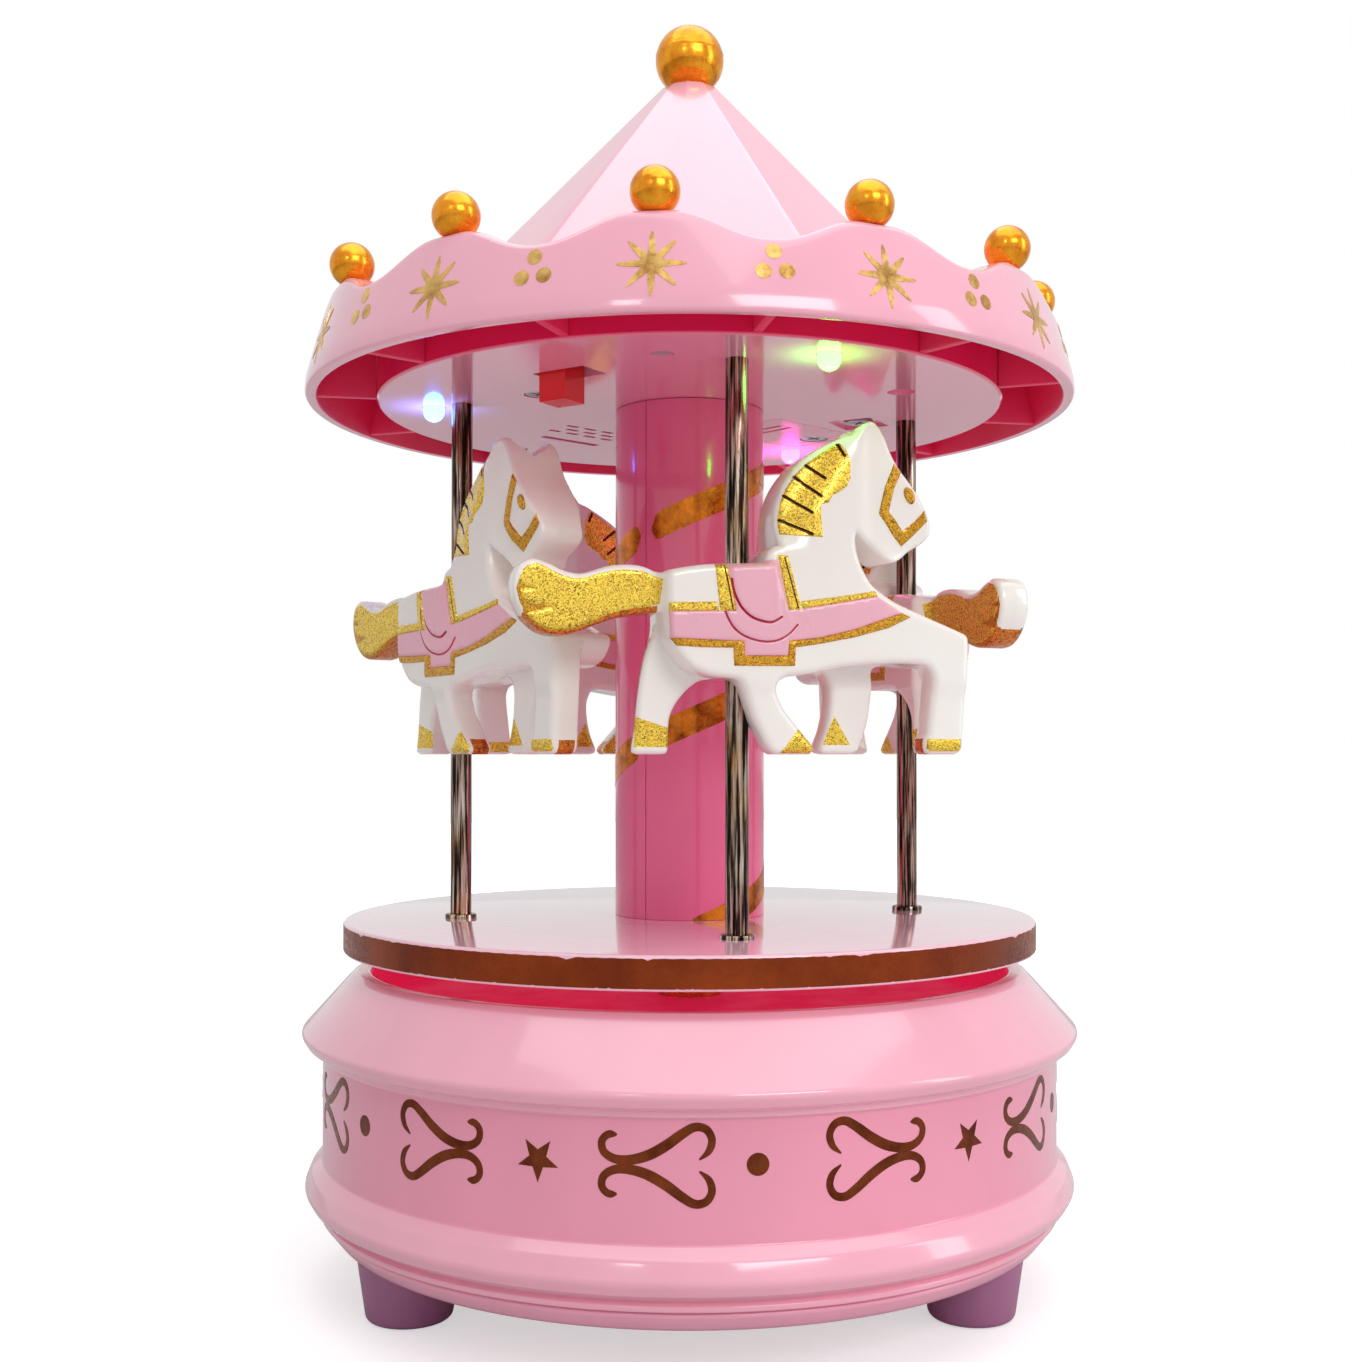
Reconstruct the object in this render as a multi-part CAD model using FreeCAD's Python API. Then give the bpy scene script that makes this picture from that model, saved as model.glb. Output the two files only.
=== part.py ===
import FreeCAD, Part
import math
import os

# A wind-up carousel music box: a round base with the clockwork movement inside, and a carousel that
# turns on the movement's spindle. Millimetres, +Z up. The origin is the centre of the plane of the feet.
# Azimuths are degrees from -Y, positive towards +X, so the front pole stands at azimuth 0.

# --- driving dimensions ---------------------------------------------------------------------------
FOOT_COUNT = 3
FOOT_CIRCLE = 42.5
FOOT_AZIMUTH = 50.0
FOOT_TOP_R = 6.9
FOOT_BOTTOM_R = 5.7
TRAY_BOTTOM_Z = 7.7
TRAY_FLOOR_Z = 9.5
TRAY_TOP_Z = 10.7
TRAY_R = 51.7
WALL_R = 51.7
WALL_INNER_R = 50.0
LOWER_RING_R = 53.6
LOWER_RING_Z = 14.4
WALL_BOTTOM_Z = 18.6
WALL_TOP_Z = 31.5
UPPER_RING_R = 54.0
UPPER_RING_Z = 35.3
LIP_Z = 43.6
LIP_OUTER_R = 47.8
LIP_INNER_R = 45.0
DECK_Z = 39.0
DECK_T = 2.0
BOSS_CIRCLE = 45.5
BOSS_R = 3.0
BASE_SCREW_AZIMUTH = -10.0

PLATFORM_R = 49.0
PLATFORM_BOTTOM_Z = 46.3
PLATFORM_TOP_Z = 50.5
PLATFORM_T = 2.2
SKIRT_T = 1.8
HUB_R = 6.0
HUB_BOTTOM_Z = 41.4

COLUMN_R = 10.75
COLUMN_T = 1.8
SEAM_AZIMUTH = 135.0
POLE_COUNT = 4
POLE_CIRCLE = 32.8
POLE_R = 1.47
POLE_BOTTOM_Z = 46.9
POLE_TOP_Z = 124.4

RIM_BOTTOM_Z = 123.1
RIM_R = 54.7
RIM_STAR_R = 53.4
RIM_STAR_Z = 128.8
RIM_TOP_R = 51.3
PEAK_Z = 135.7
VALLEY_Z = 132.4
SHELF_Z = 132.2
SHELF_T = 1.4
RIM_COUNT = 12
PEAK_AZIMUTH = 15.0
BALL_R = 2.95
BALL_CIRCLE = 49.5
BALL_Z = 138.3
UNDERPLATE_R = 44.7
UNDERPLATE_T = 1.6
ROOF_R = 39.5
ROOF_TOP_R = 3.85
ROOF_TOP_Z = 170.5
ROOF_T = 1.6
TOP_BALL_R = 4.96
TOP_BALL_Z = 174.7

HORSE_HALF = 4.95
TAIL_HALF = 2.2
HORSE_YAWS = [6.0, 12.0, 10.0, 29.0]
HOOF_Z = 73.5

LED_R = 1.5
LED_PLACES = {"led_clear": (-16.0, 35.1), "led_green": (16.0, 38.9),
              "led_blue": (-94.0, 36.8), "led_pink": (140.0, 33.4)}
DOOR_AZIMUTH = 124.0
DOOR_INNER = 12.0
DOOR_OUTER = 30.0
DOOR_W = 13.0
DOOR_SCREW_CIRCLE = 27.4
CELL_CIRCLE = 18.5
CELL_R = 5.8
CELL_PITCH = 5.4
CELL_Z = 125.2
BOARD_Z = 126.0
SWITCH_AZIMUTH = -43.0
SWITCH_CIRCLE = 29.1
SWITCH_TRAVEL = 2.4
UNDERPLATE_SCREWS = [(-144.0, 39.4), (96.0, 26.4), (-70.0, 24.0)]
DIAMOND_SIDE = 7.0
PEG_HOLE = (54.0, 32.1)

# movement: a crown wheel on the spindle turns the pinned cylinder, which turns the air-brake governor
MODULE = 0.5
PLATE_Z = 13.0
PLATE_T = 1.5
CROWN_TEETH = 48
PINION_TEETH = 16
WHEEL_TEETH = 30
ARBOR_TEETH = 10
WORM_WHEEL_TEETH = 16
CYLINDER_Z = 28.2
DRUM_R = 6.0
DRUM_X = (16.0, 30.5)
PIN_R = 0.22
PIN_LENGTH = 0.45
SPINDLE_R = 2.0
FIT = 0.05
WORM_X = 38.4
WORM_R = 1.6
ADDENDUM = 0.4
DEDENDUM = 0.6

# --- worked-out values ----------------------------------------------------------------------------
CROWN_R = MODULE * CROWN_TEETH / 2
PINION_R = MODULE * PINION_TEETH / 2
WHEEL_R = MODULE * WHEEL_TEETH / 2
ARBOR_R = MODULE * ARBOR_TEETH / 2
WORM_WHEEL_R = MODULE * WORM_WHEEL_TEETH / 2
WORM_PITCH = math.pi * MODULE
CROWN_PITCH_Z = CYLINDER_Z - PINION_R
ARBOR_Y = -(WHEEL_R + ARBOR_R)
WORM_Y = ARBOR_Y - WORM_WHEEL_R - WORM_R
PLATE_TOP = PLATE_Z + PLATE_T
HOUSING_R = 10.8
HOUSING_TOP = 21.2
CROWN_BOTTOM = 22.3
CROWN_TOP = CROWN_PITCH_Z - DEDENDUM


# --- helpers --------------------------------------------------------------------------------------
def vec(x, y, z):
    return FreeCAD.Vector(x, y, z)


UP = vec(0, 0, 1)
ORIGIN = vec(0, 0, 0)


def cylinder(radius, z0, z1, x=0.0, y=0.0):
    return Part.makeCylinder(radius, z1 - z0, vec(x, y, z0))


def rod_x(radius, x0, x1, y, z):
    return Part.makeCylinder(radius, x1 - x0, vec(x0, y, z), vec(1, 0, 0))


def tube(outer, inner, z0, z1):
    return cylinder(outer, z0, z1).cut(cylinder(inner, z0, z1))


def block(x0, x1, y0, y1, z0, z1):
    return Part.makeBox(x1 - x0, y1 - y0, z1 - z0, vec(x0, y0, z0))


def prism(points, z0, z1):
    """Straight-sided prism over a closed outline of (x, y) points."""
    ring = [vec(x, y, z0) for x, y in points]
    face = Part.Face(Part.makePolygon(ring + ring[:1]))
    return face.extrude(vec(0, 0, z1 - z0))


def revolved(points):
    """Solid of revolution about Z of a closed outline of (radius, z) points."""
    ring = [vec(r, 0, z) for r, z in points]
    face = Part.Face(Part.makePolygon(ring + ring[:1]))
    return face.revolve(ORIGIN, UP, 360)


def arc_points(centre, radius, start, end, steps=6):
    """Points of a round corner in the (radius, z) plane, angles in degrees."""
    points = []
    for i in range(steps + 1):
        a = math.radians(start + (end - start) * i / steps)
        points.append((centre[0] + radius * math.cos(a), centre[1] + radius * math.sin(a)))
    return points


def turned(shape, azimuth):
    copy = shape.copy()
    copy.rotate(ORIGIN, UP, azimuth)
    return copy


def at(azimuth, radius):
    a = math.radians(azimuth)
    return radius * math.sin(a), -radius * math.cos(a)


def placed(shape, azimuth, radius):
    """Moves a shape made at the origin out to a radius in the -Y direction, then turns it about Z."""
    copy = shape.copy()
    copy.translate(vec(0, -radius, 0))
    return turned(copy, azimuth)


def fused(shapes):
    return shapes[0].multiFuse(shapes[1:]).removeSplitter()


def save(name, shape):
    shape.exportStep("parts/" + name + ".step")


def pan_screw(head_r, head_t, shank_r, length):
    """Screw at the origin, head down below z = 0, shank upwards, with a cross recess in the head."""
    screw = cylinder(head_r, -head_t, 0).fuse(cylinder(shank_r, 0, length))
    slot = block(-head_r * 0.6, head_r * 0.6, -0.22, 0.22, -head_t, -head_t * 0.45)
    cross = slot.fuse(turned(slot, 90))
    return screw.cut(cross)


# --- base -----------------------------------------------------------------------------------------
def base_screw_azimuths():
    return [BASE_SCREW_AZIMUTH + 120 * k for k in range(3)]


def foot_azimuths():
    return [FOOT_AZIMUTH + 120 * k for k in range(FOOT_COUNT)]


def make_foot():
    edge = arc_points((FOOT_BOTTOM_R - 0.8, 0.8), 0.8, -90, -8)
    outline = [(0, 0)] + edge + [(FOOT_TOP_R, TRAY_BOTTOM_Z), (2.2, TRAY_BOTTOM_Z),
                                 (2.2, TRAY_FLOOR_Z), (0, TRAY_FLOOR_Z)]
    return revolved(outline)


def make_bottom_tray():
    corner = arc_points((TRAY_R - 2.8, TRAY_BOTTOM_Z + 2.8), 2.8, -90, 0)
    outline = [(0, TRAY_BOTTOM_Z)] + corner + [
        (TRAY_R, TRAY_TOP_Z - 0.1), (WALL_INNER_R - 0.1, TRAY_TOP_Z - 0.1), (WALL_INNER_R - 0.1, 14.0),
        (WALL_INNER_R - 1.5, 14.0), (WALL_INNER_R - 1.5, TRAY_FLOOR_Z), (0, TRAY_FLOOR_Z)]
    tray = revolved(outline)
    posts = [cylinder(2.6, TRAY_FLOOR_Z - 0.2, PLATE_Z, x, y) for x, y in frame_screw_places()]
    tray = tray.multiFuse(posts)
    for azimuth in foot_azimuths():
        tray = tray.cut(placed(cylinder(2.2, 0, 20), azimuth, FOOT_CIRCLE))
    for azimuth in base_screw_azimuths():
        tray = tray.cut(placed(cylinder(BOSS_R + 0.15, TRAY_FLOOR_Z, 20), azimuth, BOSS_CIRCLE))
        tray = tray.cut(placed(cylinder(1.2, 0, 20), azimuth, BOSS_CIRCLE))
        tray = tray.cut(placed(cylinder(2.1, 0, TRAY_BOTTOM_Z + 1.1), azimuth, BOSS_CIRCLE))
    for x, y in frame_screw_places():
        tray = tray.cut(cylinder(0.8, PLATE_Z - 3.0, PLATE_Z, x, y))
    return tray


def make_base_shell():
    lower = arc_points((LOWER_RING_R - 2.6, LOWER_RING_Z), 2.6, -60, 60)
    upper = arc_points((UPPER_RING_R - 2.4, UPPER_RING_Z), 2.4, -55, 55)
    lip = arc_points((LIP_OUTER_R - 1.2, LIP_Z - 1.2), 1.2, 40, 90)
    outline = ([(WALL_INNER_R, TRAY_TOP_Z + 0.1), (51.9, TRAY_TOP_Z + 0.1)] + lower
               + [(WALL_R, WALL_BOTTOM_Z), (WALL_R, WALL_TOP_Z)] + upper + lip
               + [(LIP_INNER_R + 0.4, LIP_Z), (LIP_INNER_R, LIP_Z - 0.5), (LIP_INNER_R, DECK_Z), (0, DECK_Z),
                  (0, DECK_Z - DECK_T), (LIP_INNER_R + 2, DECK_Z - DECK_T), (WALL_INNER_R, 33.5)])
    shell = revolved(outline)
    for azimuth in base_screw_azimuths():
        boss = cylinder(BOSS_R, TRAY_FLOOR_Z + 0.1, DECK_Z - DECK_T + 0.5)
        boss = boss.cut(cylinder(0.85, 0, 22))
        shell = shell.fuse(placed(boss, azimuth, BOSS_CIRCLE))
    shell = shell.cut(cylinder(3.2, 0, 60))
    return shell.removeSplitter()


def make_base_screws():
    screw = pan_screw(2.0, 1.0, 0.85, 12.5)
    screw.translate(vec(0, 0, TRAY_BOTTOM_Z + 1.1))
    return Part.makeCompound([placed(screw, a, BOSS_CIRCLE) for a in base_screw_azimuths()])


def make_spindle_bushing():
    bushing = fused([cylinder(3.2, DECK_Z - DECK_T, DECK_Z), cylinder(4.6, DECK_Z, DECK_Z + 1.0)])
    return bushing.cut(cylinder(SPINDLE_R + FIT, 30, 50))


# --- movement -------------------------------------------------------------------------------------
def frame_screw_places():
    return [(-14.5, 14.5), (-14.5, -14.5), (30.0, 21.5)]


def make_movement_frame():
    """Cast plate with two bearing lugs for the cylinder and a raised block for the comb."""
    plate = fused([cylinder(15.0, PLATE_Z, PLATE_TOP), block(0, 43.2, -21.0, 12, PLATE_Z, PLATE_TOP),
                   block(10, 36, 0, 25, PLATE_Z, PLATE_TOP), block(-18, 0, -18, 18, PLATE_Z, PLATE_TOP)])
    block_comb = block(15.0, 32.0, 13.0, 19.5, PLATE_TOP - 0.2, CYLINDER_Z - 0.45)
    lug_in = block(14.0, 15.2, -4, 4, PLATE_TOP - 0.2, CYLINDER_Z + 2.6)
    lug_out = block(34.0, 35.2, -4, 4, PLATE_TOP - 0.2, CYLINDER_Z + 2.6)
    frame = fused([plate, block_comb, lug_in, lug_out])
    frame = frame.cut(rod_x(1.0 + FIT, 13, 36, 0, CYLINDER_Z))
    for x, y in frame_screw_places():
        frame = frame.cut(cylinder(1.1, PLATE_Z - 1, PLATE_TOP + 1, x, y))
    for x, y in bracket_screw_places():
        frame = frame.cut(cylinder(0.6, PLATE_Z - 1, PLATE_TOP + 1, x, y))
    for x, y in comb_screw_places():
        frame = frame.cut(cylinder(0.6, CYLINDER_Z - 5, CYLINDER_Z, x, y))
    return frame


def comb_screw_places():
    return [(18.5, 16.8), (28.5, 16.8)]


def bracket_screw_places():
    return [(36.3, -17.6), (36.3, -8.6)]


def make_comb():
    """Tuned steel comb: a plate with eighteen teeth whose tips end just short of the cylinder's pins."""
    bottom, top = CYLINDER_Z - 0.45, CYLINDER_Z + 0.45
    teeth = 18
    pitch = (DRUM_X[1] - DRUM_X[0]) / teeth
    pieces = [block(15.4, 31.6, 12.4, 19.0, bottom, top)]
    for k in range(teeth):
        x = DRUM_X[0] + pitch * k + 0.1
        pieces.append(block(x, x + pitch - 0.2, DRUM_R + PIN_LENGTH + 0.15, 12.6, bottom, top))
    comb = fused(pieces)
    for x, y in comb_screw_places():
        comb = comb.cut(cylinder(0.8, bottom, top, x, y))
    return comb


def make_comb_screws():
    screws = []
    for x, y in comb_screw_places():
        head = cylinder(1.7, 0, 1.1, x, y).cut(block(x - 1.7, x + 1.7, y - 0.2, y + 0.2, 0.6, 1.1))
        screw = head.fuse(cylinder(0.6, -4.0, 0, x, y))
        screw.translate(vec(0, 0, CYLINDER_Z + 0.45))
        screws.append(screw)
    return Part.makeCompound(screws)


def make_spring_housing():
    housing = cylinder(HOUSING_R, PLATE_TOP, HOUSING_TOP).cut(cylinder(HOUSING_R - 0.8, PLATE_TOP + 0.6, 30))
    return housing.cut(cylinder(1.0 + FIT, 10, 20))


def make_spring_cover():
    cover = cylinder(HOUSING_R, HOUSING_TOP, HOUSING_TOP + 0.6)
    return cover.cut(cylinder(SPINDLE_R + 0.5, 20, 23))


def make_mainspring():
    """Flat spiral strip, wound from beside the spindle out to the housing's wall."""
    inner, outer, turns, strip = SPINDLE_R + 0.4, HOUSING_R - 1.2, 8, 0.3
    steps = turns * 10

    def spiral(offset):
        points = []
        for i in range(steps + 1):
            a = 2 * math.pi * turns * i / steps
            r = inner + (outer - inner) * i / steps + offset
            points.append(vec(r * math.cos(a), r * math.sin(a), PLATE_TOP + 0.9))
        curve = Part.BSplineCurve()
        curve.interpolate(points)
        return curve.toShape()

    near = spiral(0)
    far = spiral(strip)
    caps = [Part.makeLine(near.Vertexes[i].Point, far.Vertexes[i].Point) for i in (0, 1)]
    face = Part.Face(Part.Wire(Part.__sortEdges__([near, far] + caps)))
    return face.extrude(vec(0, 0, 5.2))


def tooth_ring(teeth, pitch_r, phase, tip=0.26, pitch_width=0.5):
    """Outline of a spur gear in a plane, with straight-flanked narrow teeth."""
    root_r, tip_r = pitch_r - DEDENDUM, pitch_r + ADDENDUM
    root = pitch_width + (pitch_width - tip) * DEDENDUM / ADDENDUM
    points = []
    for k in range(teeth):
        a = math.radians(phase) + 2 * math.pi * k / teeth
        for r, width in ((root_r, -root), (tip_r, -tip), (tip_r, tip), (root_r, root)):
            t = a + math.atan2(width / 2, r)
            points.append((r * math.cos(t), r * math.sin(t)))
    return points


def gear_x(teeth, pitch_r, phase, x0, x1, y, z):
    """Spur gear on an axis along +X; the phase is the angle of a tooth from +Y towards +Z."""
    gear = prism(tooth_ring(teeth, pitch_r, phase), 0, x1 - x0)
    gear.Placement = FreeCAD.Placement(vec(x0, y, z), FreeCAD.Rotation(vec(0, 1, 0), vec(0, 0, 1), vec(1, 0, 0)))
    return gear


def make_crown_wheel():
    """Wheel with upright teeth round its rim, driving a pinion that lies across it."""
    disc = cylinder(CROWN_R + 0.8, CROWN_BOTTOM, CROWN_TOP)
    hub = cylinder(4.0, CROWN_BOTTOM, CROWN_TOP + 1.6)
    inner_r, outer_r = CROWN_R - 0.8, CROWN_R + 0.8
    root, tip = 0.80, 0.26
    top = CROWN_PITCH_Z + ADDENDUM
    outline = [vec(inner_r, -root / 2, CROWN_TOP - 0.1), vec(inner_r, -tip / 2, top),
               vec(inner_r, tip / 2, top), vec(inner_r, root / 2, CROWN_TOP - 0.1)]
    tooth = Part.Face(Part.makePolygon(outline + outline[:1])).extrude(vec(outer_r - inner_r, 0, 0))
    teeth = [turned(tooth, 360.0 * k / CROWN_TEETH) for k in range(CROWN_TEETH)]
    wheel = disc.multiFuse([hub] + teeth)
    return wheel.cut(cylinder(SPINDLE_R, 10, 60))


def make_cylinder_arbor():
    return rod_x(1.0, 10.4, 36.0, 0, CYLINDER_Z)


def make_cylinder_pinion():
    pinion = gear_x(PINION_TEETH, PINION_R, 90 + 180 / PINION_TEETH, CROWN_R - 0.8, CROWN_R + 0.8, 0, CYLINDER_Z)
    return pinion.cut(rod_x(1.0, 10, 15, 0, CYLINDER_Z))


def make_cylinder_wheel():
    wheel = gear_x(WHEEL_TEETH, WHEEL_R, 180, 31.4, 32.6, 0, CYLINDER_Z)
    return wheel.cut(rod_x(1.0, 30, 35, 0, CYLINDER_Z))


def make_music_cylinder():
    """Hollow brass drum with end caps, and pins that pluck the comb's eighteen teeth."""
    drum = rod_x(DRUM_R, DRUM_X[0], DRUM_X[1], 0, CYLINDER_Z)
    drum = drum.cut(rod_x(DRUM_R - 0.7, DRUM_X[0] + 0.8, DRUM_X[1] - 0.8, 0, CYLINDER_Z))
    tracks = 18
    pitch = (DRUM_X[1] - DRUM_X[0]) / tracks
    pins = []
    for track in range(tracks):
        x = DRUM_X[0] + pitch * (track + 0.5)
        for beat in range(3):
            a = math.radians(8 + 20 * ((track * 7 + beat * 5 + track * beat) % 18))
            start = vec(x, (DRUM_R - 0.3) * math.cos(a), CYLINDER_Z + (DRUM_R - 0.3) * math.sin(a))
            pins.append(Part.makeCylinder(PIN_R, 0.3 + PIN_LENGTH, start, vec(0, math.cos(a), math.sin(a))))
    drum = drum.multiFuse(pins)
    return drum.cut(rod_x(1.0, 10, 40, 0, CYLINDER_Z))


def make_governor_arbor():
    return rod_x(0.6, 31.4, 42.6, ARBOR_Y, CYLINDER_Z)


def make_governor_pinion():
    pinion = gear_x(ARBOR_TEETH, ARBOR_R, 180 / ARBOR_TEETH, 31.2, 32.8, ARBOR_Y, CYLINDER_Z)
    return pinion.cut(rod_x(0.6, 30, 35, ARBOR_Y, CYLINDER_Z))


def make_worm_wheel():
    """Wheel whose teeth are slanted to the worm's lead."""
    lead = math.degrees(math.atan(MODULE / 2 / WORM_R))
    width = 1.4
    root_r, tip_r = WORM_WHEEL_R - DEDENDUM, WORM_WHEEL_R + ADDENDUM
    root, tip = 0.66, 0.24
    outline = [vec(0, root_r - 0.2, -root / 2), vec(0, tip_r, -tip / 2), vec(0, tip_r, tip / 2),
               vec(0, root_r - 0.2, root / 2)]
    tooth = Part.Face(Part.makePolygon(outline + outline[:1])).extrude(vec(width, 0, 0))
    tooth.translate(vec(-width / 2, 0, 0))
    tooth.rotate(ORIGIN, vec(0, 1, 0), lead)
    pieces = [rod_x(root_r, -width / 2, width / 2, 0, 0)]
    for k in range(WORM_WHEEL_TEETH):
        copy = tooth.copy()
        copy.rotate(ORIGIN, vec(1, 0, 0), 360.0 * k / WORM_WHEEL_TEETH)
        pieces.append(copy)
    wheel = pieces[0].multiFuse(pieces[1:])
    wheel = wheel.common(rod_x(tip_r + 1, -width / 2, width / 2, 0, 0))
    wheel = wheel.cut(rod_x(0.6, -2, 2, 0, 0))
    wheel.translate(vec(WORM_X, ARBOR_Y, CYLINDER_Z))
    return wheel


def make_governor_worm():
    """Single-start right-hand worm on a steel pin with pointed-journal ends."""
    length = 4 * WORM_PITCH
    core_r = WORM_R - DEDENDUM
    tip_r = WORM_R + ADDENDUM
    root, tip = 0.62, 0.22
    bottom = CYLINDER_Z - length / 2
    helix = Part.makeHelix(WORM_PITCH, length, core_r)
    outline = [vec(core_r - 0.15, 0, -root / 2), vec(tip_r, 0, -tip / 2), vec(tip_r, 0, tip / 2),
               vec(core_r - 0.15, 0, root / 2)]
    profile = Part.makePolygon(outline + outline[:1])
    thread = Part.Wire(helix).makePipeShell([profile], True, True)
    # the thread's middle turn is half a pitch from the wheel's axis height on the wheel's side, +Y
    thread.rotate(ORIGIN, UP, 90 + 180)
    thread.translate(vec(WORM_X, WORM_Y, bottom))
    core = cylinder(core_r, bottom - 0.8, bottom + length + 0.8, WORM_X, WORM_Y)
    pin = cylinder(0.5, 16.0, 35.4, WORM_X, WORM_Y)
    return core.multiFuse([thread, pin])


def make_governor_fan():
    """Two-bladed air brake pressed on the worm's pin."""
    hub = cylinder(1.1, 18.4, 21.8)
    blades = block(-3.0, 3.0, -0.25, 0.25, 18.6, 21.6)
    fan = fused([hub, blades]).cut(cylinder(0.5, 10, 30))
    fan.translate(vec(WORM_X, WORM_Y, 0))
    return fan


def make_governor_bracket():
    """Folded brass bracket that holds the governor's arbor between two cheeks and the worm's pin between
    two arms."""
    x0, x1, back = 34.4, 42.6, WORM_Y - 4.6
    base = block(x0, x1, back, ARBOR_Y + 3.4, PLATE_TOP, PLATE_TOP + 0.8)
    cheek = block(0, 0.8, ARBOR_Y - 3.0, ARBOR_Y + 3.0, PLATE_TOP, CYLINDER_Z + 2.4)
    inner = cheek.copy()
    inner.translate(vec(x0, 0, 0))
    outer = cheek.copy()
    outer.translate(vec(x1 - 0.8, 0, 0))
    spine = block(x0 + 1, x1 - 1, back, back + 0.8, PLATE_TOP, 35.0)
    top_arm = block(x0 + 1.6, x1 - 1.6, back, WORM_Y + 1.6, 34.2, 35.0)
    foot_arm = block(x0 + 1.6, x1 - 1.6, back, WORM_Y + 1.6, 16.6, 17.4)
    bracket = fused([base, inner, outer, spine, top_arm, foot_arm])
    bracket = bracket.cut(rod_x(0.6 + FIT, 30, 45, ARBOR_Y, CYLINDER_Z))
    bracket = bracket.cut(cylinder(0.5 + FIT, 15.6, 36, WORM_X, WORM_Y))
    for x, y in bracket_screw_places():
        bracket = bracket.cut(cylinder(0.7, PLATE_TOP, PLATE_TOP + 0.8, x, y))
    return bracket


def make_movement_screws():
    screws = []
    places = [(x, y, 1.0, 1.9, PLATE_TOP, 3.6) for x, y in frame_screw_places()]
    places += [(x, y, 0.55, 1.0, PLATE_TOP + 0.8, 2.2) for x, y in bracket_screw_places()]
    for x, y, shank, head, z, length in places:
        top = cylinder(head, z, z + 0.9, x, y).cut(block(x - head, x + head, y - 0.2, y + 0.2, z + 0.45, z + 0.9))
        pin = min(shank, 0.75)
        screws.append(top.fuse(cylinder(pin, z - length, z, x, y)))
    return Part.makeCompound(screws)


# --- carousel: turntable, column, poles -----------------------------------------------------------
def make_spindle():
    lower = cylinder(1.0, PLATE_TOP + 0.1, PLATE_TOP + 0.8)
    return fused([lower, cylinder(SPINDLE_R, PLATE_TOP + 0.8, PLATFORM_TOP_Z - 1.0)])


def pole_azimuths():
    return [360.0 / POLE_COUNT * k for k in range(POLE_COUNT)]


def make_platform():
    under = PLATFORM_TOP_Z - PLATFORM_T
    outline = [(0, PLATFORM_TOP_Z), (PLATFORM_R - 0.5, PLATFORM_TOP_Z), (PLATFORM_R, PLATFORM_TOP_Z - 0.5),
               (PLATFORM_R, PLATFORM_BOTTOM_Z + 0.3), (PLATFORM_R - 0.3, PLATFORM_BOTTOM_Z),
               (PLATFORM_R - SKIRT_T, PLATFORM_BOTTOM_Z), (PLATFORM_R - SKIRT_T, under), (0, under)]
    sockets = [placed(cylinder(3.0, PLATFORM_BOTTOM_Z + 0.1, under + 0.5), a, POLE_CIRCLE)
               for a in pole_azimuths()]
    hub = cylinder(HUB_R, HUB_BOTTOM_Z, under + 0.5)
    platform = fused([revolved(outline), hub] + sockets)
    platform = platform.cut(cylinder(SPINDLE_R, HUB_BOTTOM_Z, PLATFORM_TOP_Z - 1.0))
    for azimuth in pole_azimuths():
        platform = platform.cut(placed(cylinder(POLE_R, POLE_BOTTOM_Z, 60), azimuth, POLE_CIRCLE))
    return platform


def make_column_half(side):
    """Half of the split column; side is +1 for the half on the right of the front seam, -1 for the left."""
    column = tube(COLUMN_R, COLUMN_R - COLUMN_T, PLATFORM_TOP_Z, RIM_BOTTOM_Z)
    big = 2 * COLUMN_R
    half = block(0.0, big, -big, big, PLATFORM_TOP_Z - 1, RIM_BOTTOM_Z + 1)
    if side < 0:
        half = block(-big, 0.0, -big, big, PLATFORM_TOP_Z - 1, RIM_BOTTOM_Z + 1)
    return column.common(turned(half, SEAM_AZIMUTH + 180))


def make_pole(azimuth):
    return placed(cylinder(POLE_R, POLE_BOTTOM_Z, POLE_TOP_Z), azimuth, POLE_CIRCLE)


def make_pole_collars():
    ring = tube(POLE_R + 0.75, POLE_R, RIM_BOTTOM_Z - 0.7, RIM_BOTTOM_Z)
    return Part.makeCompound([placed(ring, a, POLE_CIRCLE) for a in pole_azimuths()])


# --- horses ---------------------------------------------------------------------------------------
# Outlines lie in the horse's own plane: x runs forward from the pole, y is the height over the hooves.
BODY_CURVES = [
    [(-9.8, 13.7), (-10.5, 17.5), (-10.2, 21.3), (-7.0, 22.9), (2.2, 23.7)],
    [(2.2, 23.7), (3.2, 25.4), (4.6, 25.4)],
    [(4.6, 25.4), (4.0, 29.0), (5.1, 33.0), (7.8, 36.5), (14.0, 40.1)],
    [(14.0, 40.1), (15.4, 41.7), (17.4, 41.9), (18.3, 39.9)],
    [(18.3, 39.9), (20.1, 35.7), (24.1, 29.9), (24.3, 27.8), (22.1, 25.8), (19.6, 24.3), (17.8, 25.1), (14.2, 27.8)],
    [(14.2, 27.8), (14.8, 24.6), (18.6, 19.8), (29.1, 15.3)],
    [(29.1, 15.3), (28.6, 11.2), (21.1, 11.3), (12.4, 10.9), (4.2, 9.5), (-4.7, 9.6), (-9.8, 13.7)],
]
TAIL_CURVES = [
    [(-8.0, 17.4), (-14.2, 17.0), (-20.0, 15.1), (-25.5, 14.9), (-28.6, 19.0), (-26.2, 23.5), (-20.6, 21.9),
     (-14.2, 23.2), (-8.0, 21.6)],
    [(-8.0, 21.6), (-8.0, 17.4)],
]
FRONT_NEAR = [(24.4, 11.0), (22.0, 14.0), (24.0, 17.0), (29.1, 15.3), (29.3, 9.9), (28.2, 0.0), (24.2, 0.0)]
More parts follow.
